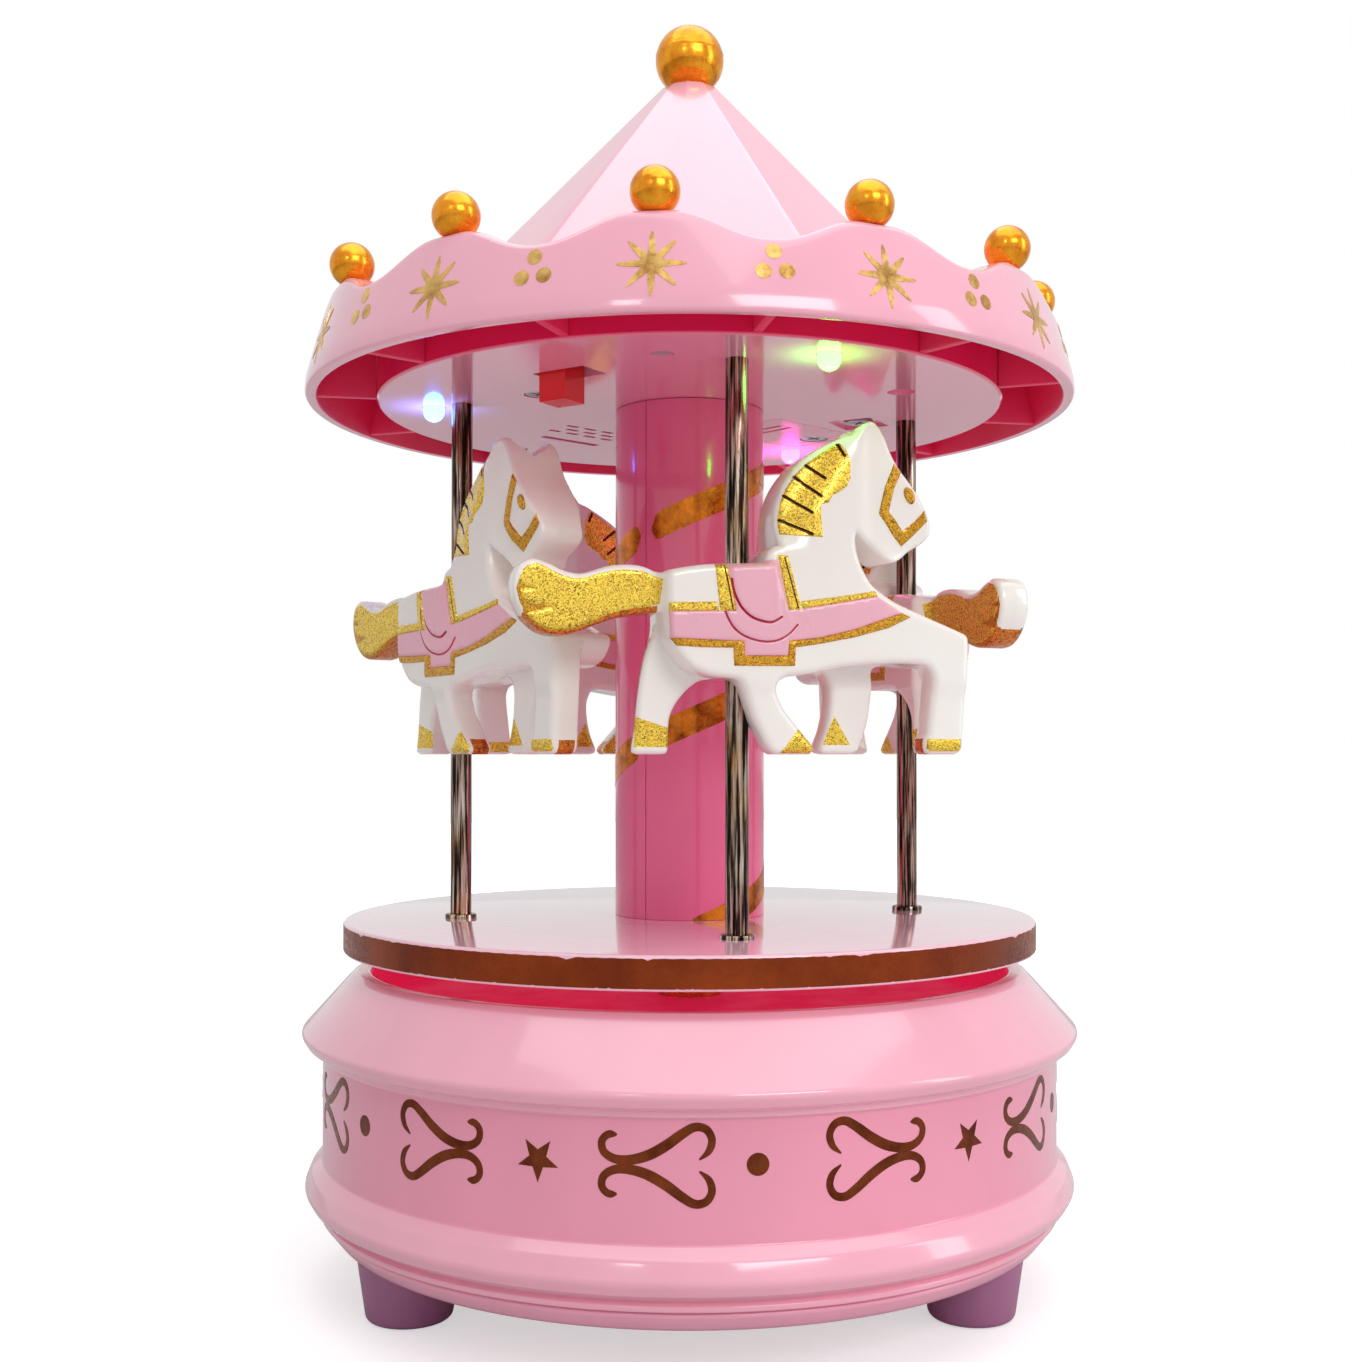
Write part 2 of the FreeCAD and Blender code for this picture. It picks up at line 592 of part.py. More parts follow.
FRONT_FAR = [(12.3, 10.3), (12.3, 14.0), (18.0, 14.0), (18.5, 8.0), (18.0, 3.0), (16.1, 0.0), (11.4, 0.0),
             (12.6, 5.2)]
HIND_NEAR = [(-1.6, 9.4), (-1.0, 13.0), (5.0, 13.0), (3.9, 7.8), (8.7, 1.0), (8.7, 0.0), (3.0, 0.0), (0.4, 5.9)]
HIND_FAR = [(-10.4, 15.0), (-6.0, 16.0), (-2.4, 9.6), (-5.4, 9.0), (-8.4, 5.2), (-8.8, 0.0), (-13.4, 0.0),
            (-12.4, 9.4)]


def curved_face(curves):
    edges = []
    for points in curves:
        curve = Part.BSplineCurve()
        curve.interpolate([vec(x, 0, y + HOOF_Z) for x, y in points])
        edges.append(curve.toShape())
    return Part.Face(Part.Wire(edges))


def straight_face(points):
    ring = [vec(x, 0, y + HOOF_Z) for x, y in points]
    return Part.Face(Part.makePolygon(ring + ring[:1]))


def make_horse_half(azimuth, side, yaw):
    """One moulded half of a horse; side is -1 for the outer half and +1 for the inner half."""
    legs = (HIND_NEAR, FRONT_NEAR) if side < 0 else (HIND_FAR, FRONT_FAR)
    pieces = [curved_face(BODY_CURVES).extrude(vec(0, side * HORSE_HALF, 0)),
              curved_face(TAIL_CURVES).extrude(vec(0, side * TAIL_HALF, 0))]
    for leg in legs:
        piece = straight_face(leg).extrude(vec(0, side * (HORSE_HALF - 0.5), 0))
        piece.translate(vec(0, side * 0.3, 0))
        pieces.append(piece)
    half = pieces[0].multiFuse(pieces[1:])
    half = half.cut(cylinder(POLE_R, 60, 130))
    half.rotate(ORIGIN, UP, yaw)
    return placed(half, azimuth, POLE_CIRCLE)


# --- canopy ---------------------------------------------------------------------------------------
def peak_azimuths():
    return [PEAK_AZIMUTH + 360.0 / RIM_COUNT * k for k in range(RIM_COUNT)]


def valley_azimuths():
    return [360.0 / RIM_COUNT * k for k in range(RIM_COUNT)]


def make_canopy_rim():
    """Scalloped rim: a flared wall with a wavy crown, a shelf for the roof, and radial ribs beneath."""
    crown_inner = RIM_TOP_R - 4.2
    outline = [(RIM_R - 0.6, RIM_BOTTOM_Z), (RIM_R, RIM_BOTTOM_Z + 0.7), (RIM_STAR_R, RIM_STAR_Z),
               (RIM_TOP_R + 0.4, PEAK_Z - 0.6), (RIM_TOP_R - 0.3, PEAK_Z), (crown_inner + 0.4, PEAK_Z),
               (crown_inner, PEAK_Z - 0.4), (crown_inner - 0.4, SHELF_Z), (35.5, SHELF_Z),
               (35.5, SHELF_Z - SHELF_T), (RIM_STAR_R - 2.0, SHELF_Z - SHELF_T), (RIM_R - 2.1, RIM_BOTTOM_Z)]
    rim = revolved(outline)
    half_chord = RIM_TOP_R * math.sin(math.radians(11.5))
    rise = PEAK_Z - VALLEY_Z
    scoop_r = (half_chord ** 2 + rise ** 2) / (2 * rise)
    scoop = Part.makeCylinder(scoop_r, 14, vec(0, -44, VALLEY_Z + scoop_r), vec(0, -1, 0))
    rim = rim.cut(fused([turned(scoop, a) for a in valley_azimuths()]))
    rib = block(-0.6, 0.6, -(RIM_R - 1.9), -UNDERPLATE_R, RIM_BOTTOM_Z, SHELF_Z - 0.5)
    rim = rim.multiFuse([turned(rib, a) for a in valley_azimuths()])
    for azimuth in peak_azimuths():
        rim = rim.cut(placed(cylinder(1.0, PEAK_Z - 2.5, PEAK_Z + 1), azimuth, BALL_CIRCLE))
    return rim


def make_rim_balls():
    ball = Part.makeSphere(BALL_R, vec(0, 0, BALL_Z)).cut(cylinder(5, BALL_Z - 5, PEAK_Z))
    ball = ball.fuse(cylinder(1.0, PEAK_Z - 2.5, BALL_Z - 1))
    return Part.makeCompound([placed(ball, a, BALL_CIRCLE) for a in peak_azimuths()])


def pyramid(base_r, z0, top_r, z1):
    """Solid twelve-sided pyramid frustum with its edges under the rim balls."""
    rings = []
    for r, z in ((base_r, z0), (top_r, z1)):
        ring = []
        for azimuth in peak_azimuths():
            x, y = at(azimuth, r)
            ring.append(vec(x, y, z))
        rings.append(Part.makePolygon(ring + ring[:1]))
    return Part.makeLoft(rings, True, True)


def make_canopy_roof():
    roof = pyramid(ROOF_R, SHELF_Z, ROOF_TOP_R, ROOF_TOP_Z)
    hollow = pyramid(ROOF_R - ROOF_T * 1.35, SHELF_Z, 2.4, ROOF_TOP_Z - 3.0)
    roof = roof.cut(hollow)
    return roof.cut(cylinder(1.6, ROOF_TOP_Z - 4, ROOF_TOP_Z + 1))


def make_top_ball():
    ball = Part.makeSphere(TOP_BALL_R, vec(0, 0, TOP_BALL_Z)).cut(cylinder(8, TOP_BALL_Z - 8, ROOF_TOP_Z))
    return ball.fuse(cylinder(1.6, ROOF_TOP_Z - 3.0, TOP_BALL_Z - 2))


def door_block(clearance, z0, z1):
    plate = block(-DOOR_W / 2 - clearance, DOOR_W / 2 + clearance, -DOOR_OUTER - clearance,
                  -DOOR_INNER + clearance, z0, z1)
    return turned(plate, DOOR_AZIMUTH)


def diamond(azimuth, radius):
    half = DIAMOND_SIDE / 2
    square = block(-half, half, -half, half, RIM_BOTTOM_Z - 1, RIM_BOTTOM_Z + 0.5)
    square.rotate(ORIGIN, UP, 45)
    return placed(square, azimuth, radius)


def make_canopy_underplate():
    """Shallow dish under the roof that carries the lights, the switch, the battery door and the vents."""
    top = SHELF_Z - SHELF_T
    dish = revolved([(0, RIM_BOTTOM_Z), (UNDERPLATE_R - 0.3, RIM_BOTTOM_Z), (UNDERPLATE_R, RIM_BOTTOM_Z + 0.3),
                     (UNDERPLATE_R, top), (UNDERPLATE_R - 1.4, top),
                     (UNDERPLATE_R - 1.4, RIM_BOTTOM_Z + UNDERPLATE_T), (0, RIM_BOTTOM_Z + UNDERPLATE_T)])
    for azimuth in pole_azimuths():
        dish = dish.cut(placed(cylinder(POLE_R, 120, POLE_TOP_Z), azimuth, POLE_CIRCLE))
    for azimuth, radius in LED_PLACES.values():
        dish = dish.cut(placed(cylinder(LED_R, 120, BOARD_Z), azimuth, radius))
    dish = dish.cut(door_block(0.15, RIM_BOTTOM_Z - 1, RIM_BOTTOM_Z + UNDERPLATE_T + 1))
    plate_top = RIM_BOTTOM_Z + UNDERPLATE_T
    bridge = block(-DOOR_W / 2 - 1.5, DOOR_W / 2 + 1.5, -DOOR_SCREW_CIRCLE - 1.6, -DOOR_SCREW_CIRCLE + 1.6,
                   plate_top, BOARD_Z - 0.1)
    dish = dish.fuse(turned(bridge, DOOR_AZIMUTH))
    dish = dish.cut(placed(cylinder(0.75, 120, 130), DOOR_AZIMUTH, DOOR_SCREW_CIRCLE))
    window = block(-2.9 - SWITCH_TRAVEL / 2, 2.9 + SWITCH_TRAVEL / 2, -2.6, 2.6, 120, 126)
    dish = dish.cut(placed(window, SWITCH_AZIMUTH, SWITCH_CIRCLE))
    dish = dish.cut(placed(cylinder(1.9, 120, RIM_BOTTOM_Z + 1.0), *PEG_HOLE))
    for azimuth, radius in UNDERPLATE_SCREWS:
        dish = dish.cut(placed(cylinder(2.2, 120, RIM_BOTTOM_Z + 0.9), azimuth, radius))
        dish = dish.cut(placed(cylinder(0.85, 120, 126), azimuth, radius))
    dish = dish.cut(diamond(*UNDERPLATE_SCREWS[1]))
    return dish.cut(make_vents())


def make_vents():
    """Slots in two staggered rows and one long slot, behind the column on the left."""
    slots = []
    for row in range(3):
        for k in range(5 - row % 2):
            slot = block(-1.1, 1.1, -0.45, 0.45, 120, 126)
            slot.translate(vec((k - 2 + 0.5 * (row % 2)) * 3.4, -(18.8 + 2.2 * row), 0))
            slots.append(turned(slot, -148))
    long_slot = block(-5.5, 5.5, -0.7, 0.7, 120, 126)
    long_slot.translate(vec(0, -28.0, 0))
    slots.append(turned(long_slot, -148))
    return Part.makeCompound(slots)


def make_underplate_screws():
    screws = []
    for azimuth, radius in UNDERPLATE_SCREWS:
        screw = pan_screw(2.0, 0.8, 0.85, 5.2)
        screw.translate(vec(0, 0, RIM_BOTTOM_Z + 0.9))
        screws.append(placed(screw, azimuth, radius))
    return Part.makeCompound(screws)


# --- lights ---------------------------------------------------------------------------------------
def make_led(azimuth, radius):
    dome_z = RIM_BOTTOM_Z - 0.6
    led = fused([Part.makeSphere(LED_R, vec(0, 0, dome_z)).common(cylinder(3, 110, dome_z)),
                 cylinder(LED_R, dome_z, BOARD_Z),
                 cylinder(LED_R + 0.4, RIM_BOTTOM_Z + UNDERPLATE_T, RIM_BOTTOM_Z + UNDERPLATE_T + 0.8)])
    return placed(led, azimuth, radius)


def make_led_board():
    """Ring-shaped circuit board over the lights, cut away for the cells."""
    board = tube(41.5, 14.0, BOARD_Z, BOARD_Z + 1.2)
    board = board.cut(placed(cylinder(CELL_R + 1.4, 120, 130), DOOR_AZIMUTH, CELL_CIRCLE))
    board = board.cut(placed(cylinder(1.2, 120, 130), DOOR_AZIMUTH, DOOR_SCREW_CIRCLE))
    board = board.cut(placed(block(-6.2, 6.2, -3.6, 3.6, 120, 130), SWITCH_AZIMUTH, SWITCH_CIRCLE))
    for azimuth, radius in UNDERPLATE_SCREWS:
        board = board.cut(placed(cylinder(1.6, 120, 130), azimuth, radius))
    return board


def make_button_cells():
    """Three button cells stacked upright over the inner end of the battery door."""
    cells = []
    for k in range(3):
        z = CELL_Z + CELL_PITCH * k
        can = cylinder(CELL_R, z, z + 4.6)
        cap = cylinder(CELL_R - 1.2, z + 4.6, z + CELL_PITCH)
        cells.append(placed(can.fuse(cap), DOOR_AZIMUTH, CELL_CIRCLE))
    return Part.makeCompound(cells)


def make_battery_contacts():
    """A contact strip on the door under the cells and another above them."""
    top = CELL_Z + 3 * CELL_PITCH
    plates = []
    for z in (CELL_Z - 0.4, top):
        plate = block(-2.5, 2.5, -4.5, 4.5, z, z + 0.4)
        plates.append(placed(plate, DOOR_AZIMUTH, CELL_CIRCLE))
    return Part.makeCompound(plates)


def make_battery_door():
    """Flat door with two finger grooves, held by one screw at its outer end."""
    door = door_block(0, RIM_BOTTOM_Z, RIM_BOTTOM_Z + UNDERPLATE_T)
    for y in (-16.0, -18.0):
        groove = block(-3.5, 3.5, y - 0.4, y + 0.4, RIM_BOTTOM_Z - 1, RIM_BOTTOM_Z + 0.5)
        door = door.cut(turned(groove, DOOR_AZIMUTH))
    door = door.cut(placed(cylinder(2.2, 120, RIM_BOTTOM_Z + 0.9), DOOR_AZIMUTH, DOOR_SCREW_CIRCLE))
    return door.cut(placed(cylinder(0.75, 120, 130), DOOR_AZIMUTH, DOOR_SCREW_CIRCLE))


def make_battery_door_screw():
    screw = pan_screw(2.0, 0.8, 0.75, 3.4)
    screw.translate(vec(0, 0, RIM_BOTTOM_Z + 0.9))
    return placed(screw, DOOR_AZIMUTH, DOOR_SCREW_CIRCLE)


def make_light_switch():
    body = block(-6.0, 6.0, -3.4, 3.4, RIM_BOTTOM_Z + UNDERPLATE_T + 0.9, 130.4)
    return placed(body, SWITCH_AZIMUTH, SWITCH_CIRCLE)


def make_light_switch_slider():
    """Red slide knob: a flat carriage behind the window and a block that reaches down through it."""
    x = -SWITCH_TRAVEL / 2
    knob = block(x - 2.1, x + 2.1, -2.1, 2.1, RIM_BOTTOM_Z - 3.7, RIM_BOTTOM_Z + UNDERPLATE_T + 0.7)
    return placed(knob, SWITCH_AZIMUTH, SWITCH_CIRCLE)


# --- export ---------------------------------------------------------------------------------------
def export_base():
    for index, azimuth in enumerate(foot_azimuths()):
        save("foot_%d" % (index + 1), placed(make_foot(), azimuth, FOOT_CIRCLE))
    save("bottom_tray", make_bottom_tray())
    save("base_shell", make_base_shell())
    save("base_screws", make_base_screws())
    save("spindle_bushing", make_spindle_bushing())


def export_movement():
    save("movement_frame", make_movement_frame())
    save("movement_screws", make_movement_screws())
    save("spring_housing", make_spring_housing())
    save("spring_cover", make_spring_cover())
    save("mainspring", make_mainspring())
    save("comb", make_comb())
    save("comb_screws", make_comb_screws())
    save("governor_bracket", make_governor_bracket())
    save("crown_wheel", make_crown_wheel())
    save("cylinder_arbor", make_cylinder_arbor())
    save("cylinder_pinion", make_cylinder_pinion())
    save("cylinder_wheel", make_cylinder_wheel())
    save("music_cylinder", make_music_cylinder())
    save("governor_arbor", make_governor_arbor())
    save("governor_pinion", make_governor_pinion())
    save("worm_wheel", make_worm_wheel())
    save("governor_worm", make_governor_worm())
    save("governor_fan", make_governor_fan())


def export_carousel():
    save("spindle", make_spindle())
    save("platform", make_platform())
    save("column_right_half", make_column_half(+1))
    save("column_left_half", make_column_half(-1))
    save("pole_collars", make_pole_collars())
    for index, azimuth in enumerate(pole_azimuths()):
        save("pole_%d" % (index + 1), make_pole(azimuth))
        yaw = HORSE_YAWS[index]
        save("horse_%d_outer_half" % (index + 1), make_horse_half(azimuth, -1, yaw))
        save("horse_%d_inner_half" % (index + 1), make_horse_half(azimuth, +1, yaw))


def export_canopy():
    save("canopy_rim", make_canopy_rim())
    save("canopy_roof", make_canopy_roof())
    save("canopy_underplate", make_canopy_underplate())
    save("underplate_screws", make_underplate_screws())
    save("rim_balls", make_rim_balls())
    save("top_ball", make_top_ball())
    for name, (azimuth, radius) in LED_PLACES.items():
        save(name, make_led(azimuth, radius))
    save("led_board", make_led_board())
    save("button_cells", make_button_cells())
    save("battery_contacts", make_battery_contacts())
    save("battery_door", make_battery_door())
    save("battery_door_screw", make_battery_door_screw())
    save("light_switch", make_light_switch())
    save("light_switch_slider", make_light_switch_slider())


os.makedirs("parts", exist_ok=True)
export_base()
export_movement()
export_carousel()
export_canopy()
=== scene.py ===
import math
import bmesh
import bpy
import numpy as np
from mathutils import Matrix, Vector
from mathutils.geometry import delaunay_2d_cdt


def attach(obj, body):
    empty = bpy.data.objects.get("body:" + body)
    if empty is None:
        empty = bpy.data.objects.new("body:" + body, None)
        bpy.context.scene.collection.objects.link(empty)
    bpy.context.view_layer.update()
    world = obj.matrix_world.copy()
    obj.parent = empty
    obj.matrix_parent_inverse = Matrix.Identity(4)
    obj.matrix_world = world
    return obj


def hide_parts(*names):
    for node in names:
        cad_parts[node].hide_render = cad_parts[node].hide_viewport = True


# Looks of the carousel music box. Lengths are millimetres until a mesh is written out in metres.
# Azimuths are degrees from -Y, positive towards +X.
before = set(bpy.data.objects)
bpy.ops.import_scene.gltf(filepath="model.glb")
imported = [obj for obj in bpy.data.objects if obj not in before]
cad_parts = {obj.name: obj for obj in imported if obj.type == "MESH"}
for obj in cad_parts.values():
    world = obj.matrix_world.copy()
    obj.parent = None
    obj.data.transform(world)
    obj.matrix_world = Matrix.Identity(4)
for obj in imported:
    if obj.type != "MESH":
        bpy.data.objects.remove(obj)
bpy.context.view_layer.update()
MM = 0.001

# --- shared dimensions ---
WALL_R = 51.7
WALL_MIDDLE = 27.3
WALL_SPAN = (18.0, 32.3)
DECK_R = 45.0
DECK_Z = 39.0
LIP_Z = 43.6
COLUMN_R = 10.75
POLE_CIRCLE = 32.8
POLE_R = 1.47
POLE_Z = (46.9, 124.4)
PLATFORM_R = 49.0
PLATFORM_TOP = 50.5
PLATFORM_EDGE_Z = 46.3
COLUMN_WALL = 1.8
HELIX_PITCH = 29.3
RIM_BOTTOM = 123.1
RIM_FOIL_Z = 128.8
UNDERPLATE_R = 44.7
PEAK = 135.7
VALLEY = 132.4
SHELF = 132.2
BALL_CIRCLE = 49.5
ROOF_R = 39.5
ROOF_TOP = 170.5
HORSE_YAWS = (6.0, 12.0, 10.0, 29.0)
HOOF_Z = 73.5
FOIL = 0.04
SINK = 0.05


# --- materials ---
def linear(colour):
    return tuple((c / 12.92 if c <= 0.04045 else ((c + 0.055) / 1.055) ** 2.4) for c in colour) + (1.0,)


class Material:
    """A node material around one Principled shader, with helpers for the textures that feed it."""

    def __init__(self, name, **values):
        self.material = bpy.data.materials.new(name)
        self.material.use_nodes = True
        self.tree = self.material.node_tree
        self.shader = self.tree.nodes["Principled BSDF"]
        self.coords = self.tree.nodes.new("ShaderNodeTexCoord")
        for socket, value in values.items():
            self.shader.inputs[socket.replace("_", " ")].default_value = value

    def node(self, kind, **inputs):
        made = self.tree.nodes.new("ShaderNode" + kind)
        for socket, value in inputs.items():
            made.inputs[socket.replace("_", " ")].default_value = value
        return made

    def link(self, out, into):
        self.tree.links.new(out, into)

    def mapped(self, scale=(1, 1, 1)):
        mapping = self.tree.nodes.new("ShaderNodeMapping")
        mapping.inputs["Scale"].default_value = scale
        self.link(self.coords.outputs["Object"], mapping.inputs["Vector"])
        return mapping.outputs["Vector"]

    def noise(self, size_mm, detail=3.0, stretch=(1, 1, 1), roughness=0.5):
        noise = self.node("TexNoise", Scale=1.0, Detail=detail, Roughness=roughness)
        self.link(self.mapped(tuple(s / (size_mm * MM) for s in stretch)), noise.inputs["Vector"])
        return noise.outputs["Fac"]

    def cells(self, size_mm):
        """Three random values for each grain."""
        cells = self.node("TexVoronoi", Scale=1.0)
        self.link(self.mapped((1 / (size_mm * MM),) * 3), cells.inputs["Vector"])
        split = self.node("SeparateColor")
        self.link(cells.outputs["Color"], split.inputs["Color"])
        return split.outputs["Red"], split.outputs["Green"], split.outputs["Blue"]

    def ramp(self, value, stops):
        ramp = self.tree.nodes.new("ShaderNodeValToRGB")
        elements = ramp.color_ramp.elements
        while len(elements) < len(stops):
            elements.new(0.5)
        for element, (place, colour) in zip(elements, stops):
            element.position = place
            element.color = linear(colour) if isinstance(colour, tuple) else (colour, colour, colour, 1)
        self.link(value, ramp.inputs["Fac"])
        return ramp.outputs["Color"]

    def bump(self, value, height_mm, strength=1.0):
        bump = self.node("Bump", Strength=strength, Distance=height_mm * MM)
        self.link(value, bump.inputs["Height"])
        self.link(bump.outputs["Normal"], self.shader.inputs["Normal"])

    def colour(self, value):
        self.link(value, self.shader.inputs["Base Color"])

    def rough(self, value):
        self.link(value, self.shader.inputs["Roughness"])


def shade(colour, factor):
    return tuple(min(1.0, c * factor) for c in colour)


FLOW_MARKS = 18.0
ORANGE_PEEL = (1.4, 0.002)


def plastic(name, colour, gloss=0.22, coat=0.5, variation=0.02, subsurface=0.0, glow=0.0):
    """Injection-moulded plastic: faint flow marks in the colour, uneven gloss, very fine orange peel.

    A little glow is painted light: emission that brightens a part lying in shade.
    """
    m = Material(name, Roughness=gloss, Coat_Weight=coat, Coat_Roughness=0.06, IOR=1.5)
    if subsurface:
        m.shader.inputs["Subsurface Weight"].default_value = subsurface
        m.shader.inputs["Subsurface Radius"].default_value = (1.0, 0.5, 0.6)
        m.shader.inputs["Subsurface Scale"].default_value = 0.0012
    if glow:
        m.shader.inputs["Emission Color"].default_value = linear(shade(colour, 0.9))
        m.shader.inputs["Emission Strength"].default_value = glow
    flow = m.noise(FLOW_MARKS, 4.0, (1, 1, 0.5))
    m.colour(m.ramp(flow, [(0.3, shade(colour, 1 - variation)), (0.7, shade(colour, 1 + variation))]))
    m.rough(m.ramp(m.noise(5.0, 3.0), [(0.3, gloss * 0.85), (0.75, gloss * 1.25)]))
    m.bump(m.noise(ORANGE_PEEL[0], 2.0), ORANGE_PEEL[1])
    return m.material


def glitter(name, bright, dark, size):
    """Gold paint full of glitter: bright flakes broken by dark gaps."""
    m = Material(name, Metallic=0.75, Roughness=0.3, Coat_Weight=0.3, Coat_Roughness=0.1)
    tone, gloss, tilt = m.cells(size)
    mid = tuple((a * 0.75 + b * 0.25) for a, b in zip(bright, dark))
    m.colour(m.ramp(tone, [(0.0, dark), (0.22, mid), (0.55, bright), (1.0, shade(bright, 1.15))]))
    m.rough(m.ramp(gloss, [(0.0, 0.22), (1.0, 0.5)]))
    m.bump(tilt, 0.05, 0.8)
    return m.material


def foil_material(name, colour, edge, rough=0.28, metal=0.9, size=3.0):
    """Hot-stamped metallic foil with uneven lay-down and a few pinholes."""
    m = Material(name, Metallic=metal, Roughness=rough)
    tone = m.noise(size, 5.0, (1, 1, 1), 0.6)
    m.colour(m.ramp(tone, [(0.3, edge), (0.52, colour), (0.8, shade(colour, 1.2))]))
    m.rough(m.ramp(m.noise(0.6, 4.0), [(0.35, rough * 0.7), (0.7, rough * 1.7)]))
    m.bump(m.noise(0.35, 4.0), 0.008)
    return m.material


def metal(name, colour, dark, rough, bump=0.004):
    """Machined or rolled metal with fine marks in its tone and gloss."""
    m = Material(name, Metallic=1.0, Roughness=rough)
    marks = m.noise(1.5, 5.0, (1, 1, 1), 0.65)
    m.colour(m.ramp(marks, [(0.25, dark), (0.6, colour), (0.9, shade(colour, 1.1))]))
    m.rough(m.ramp(marks, [(0.2, rough * 1.6), (0.8, rough * 0.7)]))
    m.bump(marks, bump)
    return m.material


def underplate_plastic():
    """Glossy pale plate; its outer wall, down in the gap beside the rim, turns deep pink, which is painted
    shade.
    """
    m = Material("pink_underplate_plastic", Roughness=0.12, Coat_Weight=0.8, Coat_Roughness=0.06)
    flat = m.node("VectorMath")
    flat.operation = "LENGTH"
    m.link(m.mapped((1.0, 1.0, 0.0)), flat.inputs[0])
    edge = m.node("MapRange", From_Min=(UNDERPLATE_R - 0.4) * MM, From_Max=(UNDERPLATE_R - 0.08) * MM)
    m.link(flat.outputs["Value"], edge.inputs["Value"])
    # Painted shade: the colour runs to deep crimson at the plate's edge, in the gap beside the rim.
    m.colour(m.ramp(edge.outputs["Result"], [(0.0, (0.97, 0.60, 0.72)), (1.0, PAINTED_SHADE_PINK)]))
    m.bump(m.noise(ORANGE_PEEL[0], 2.0), ORANGE_PEEL[1])
    return m.material


PINK = (0.985, 0.695, 0.775)
# Deep crimson painted shade for pink faces down in gaps and recesses.
PAINTED_SHADE_PINK = (0.93, 0.15, 0.38)
pink_shell = plastic("pink_shell_plastic", PINK, gloss=0.16, coat=0.7)
# Painted shade: a darker copy of the pink shell for the upright wall, which gets less light from above than
# the rings.
pink_wall_shaded = plastic("pink_wall_plastic", (0.97, 0.62, 0.72), gloss=0.2)
# Painted shade: the inside of the rim, where shade falls, is coloured deep crimson.
pink_inside_shaded = plastic("pink_inside_plastic", PAINTED_SHADE_PINK, gloss=0.45, coat=0.0, variation=0.06)
# Painted shade and painted light: the deck, down in the gap under the platform, gets a deep crimson colour
# and a faint glow in place of the shade and bounced light there.
pink_deck_shade_and_glow = plastic("pink_deck_plastic", (0.94, 0.17, 0.42), gloss=0.5, coat=0.0, variation=0.05, glow=0.30)
pink_platform = plastic("pink_platform_plastic", (0.985, 0.77, 0.84), gloss=0.1, coat=0.8)
pink_column = plastic("pink_column_plastic", (0.98, 0.42, 0.62), gloss=0.2)
pink_underplate = underplate_plastic()
pink_tray = plastic("pink_tray_plastic", (0.97, 0.66, 0.76))
pink_door = plastic("pink_door_plastic", (0.97, 0.66, 0.76), gloss=0.3)
mauve_foot = plastic("mauve_foot_plastic", (0.66, 0.42, 0.57), gloss=0.4, coat=0.1)
ivory = plastic("ivory_horse_plastic", (0.995, 0.965, 0.94), gloss=0.18, coat=0.6, variation=0.012,
                subsurface=0.15)
saddle_pink = plastic("saddle_pink_paint", (0.965, 0.71, 0.78), gloss=0.28, coat=0.5, variation=0.03)
line_rose = plastic("rose_line_paint", (0.74, 0.08, 0.25), gloss=0.35, coat=0.3, variation=0.08)
gold = glitter("gold_glitter_paint", (0.97, 0.80, 0.29), (0.42, 0.25, 0.04), 0.13)
gold_line = glitter("dark_gold_line", (0.34, 0.17, 0.04), (0.18, 0.07, 0.01), 0.3)
# Painted shade: a darker orange copy of the gold for the tail's lower rounded edge and the near hoof sides,
# which face away from the light.
shaded_gold_edge = glitter("orange_gold_edge", (0.83, 0.47, 0.12), (0.45, 0.20, 0.03), 0.25)
gold_dull = glitter("brown_gold_paint", (0.82, 0.60, 0.14), (0.42, 0.25, 0.03), 0.14)
bronze_foil = foil_material("bronze_foil", (0.46, 0.22, 0.11), (0.36, 0.14, 0.06))
copper_foil = foil_material("copper_edge_foil", (0.54, 0.22, 0.07), (0.46, 0.16, 0.04), 0.3, 0.8, 12.0)
rim_foil = foil_material("pale_gold_foil", (0.84, 0.68, 0.40), (0.64, 0.45, 0.22))
column_foil = foil_material("column_gold_foil", (0.80, 0.45, 0.13), (0.55, 0.24, 0.05), 0.24)
ball_gold = foil_material("gold_ball_plating", (0.93, 0.60, 0.15), (0.83, 0.47, 0.09), 0.2, 0.92, 2.2)
zinc = metal("zinc_steel", (0.80, 0.80, 0.82), (0.55, 0.55, 0.58), 0.3)
steel = metal("bright_steel", (0.74, 0.74, 0.76), (0.5, 0.5, 0.53), 0.25)
brass = metal("turned_brass", (0.84, 0.67, 0.33), (0.66, 0.48, 0.2), 0.24)
cast = metal("cast_zinc_frame", (0.66, 0.66, 0.68), (0.48, 0.48, 0.5), 0.45, bump=0.02)
green_board = plastic("green_board_mask", (0.10, 0.42, 0.22), gloss=0.3, variation=0.1)
switch_black = plastic("switch_body_black", (0.09, 0.09, 0.10), gloss=0.4, coat=0.1)
switch_red = plastic("switch_knob_red", (0.93, 0.10, 0.12), gloss=0.3, coat=0.3, variation=0.05)
white_plastic = plastic("white_gear_plastic", (0.92, 0.91, 0.88), gloss=0.35, coat=0.1)


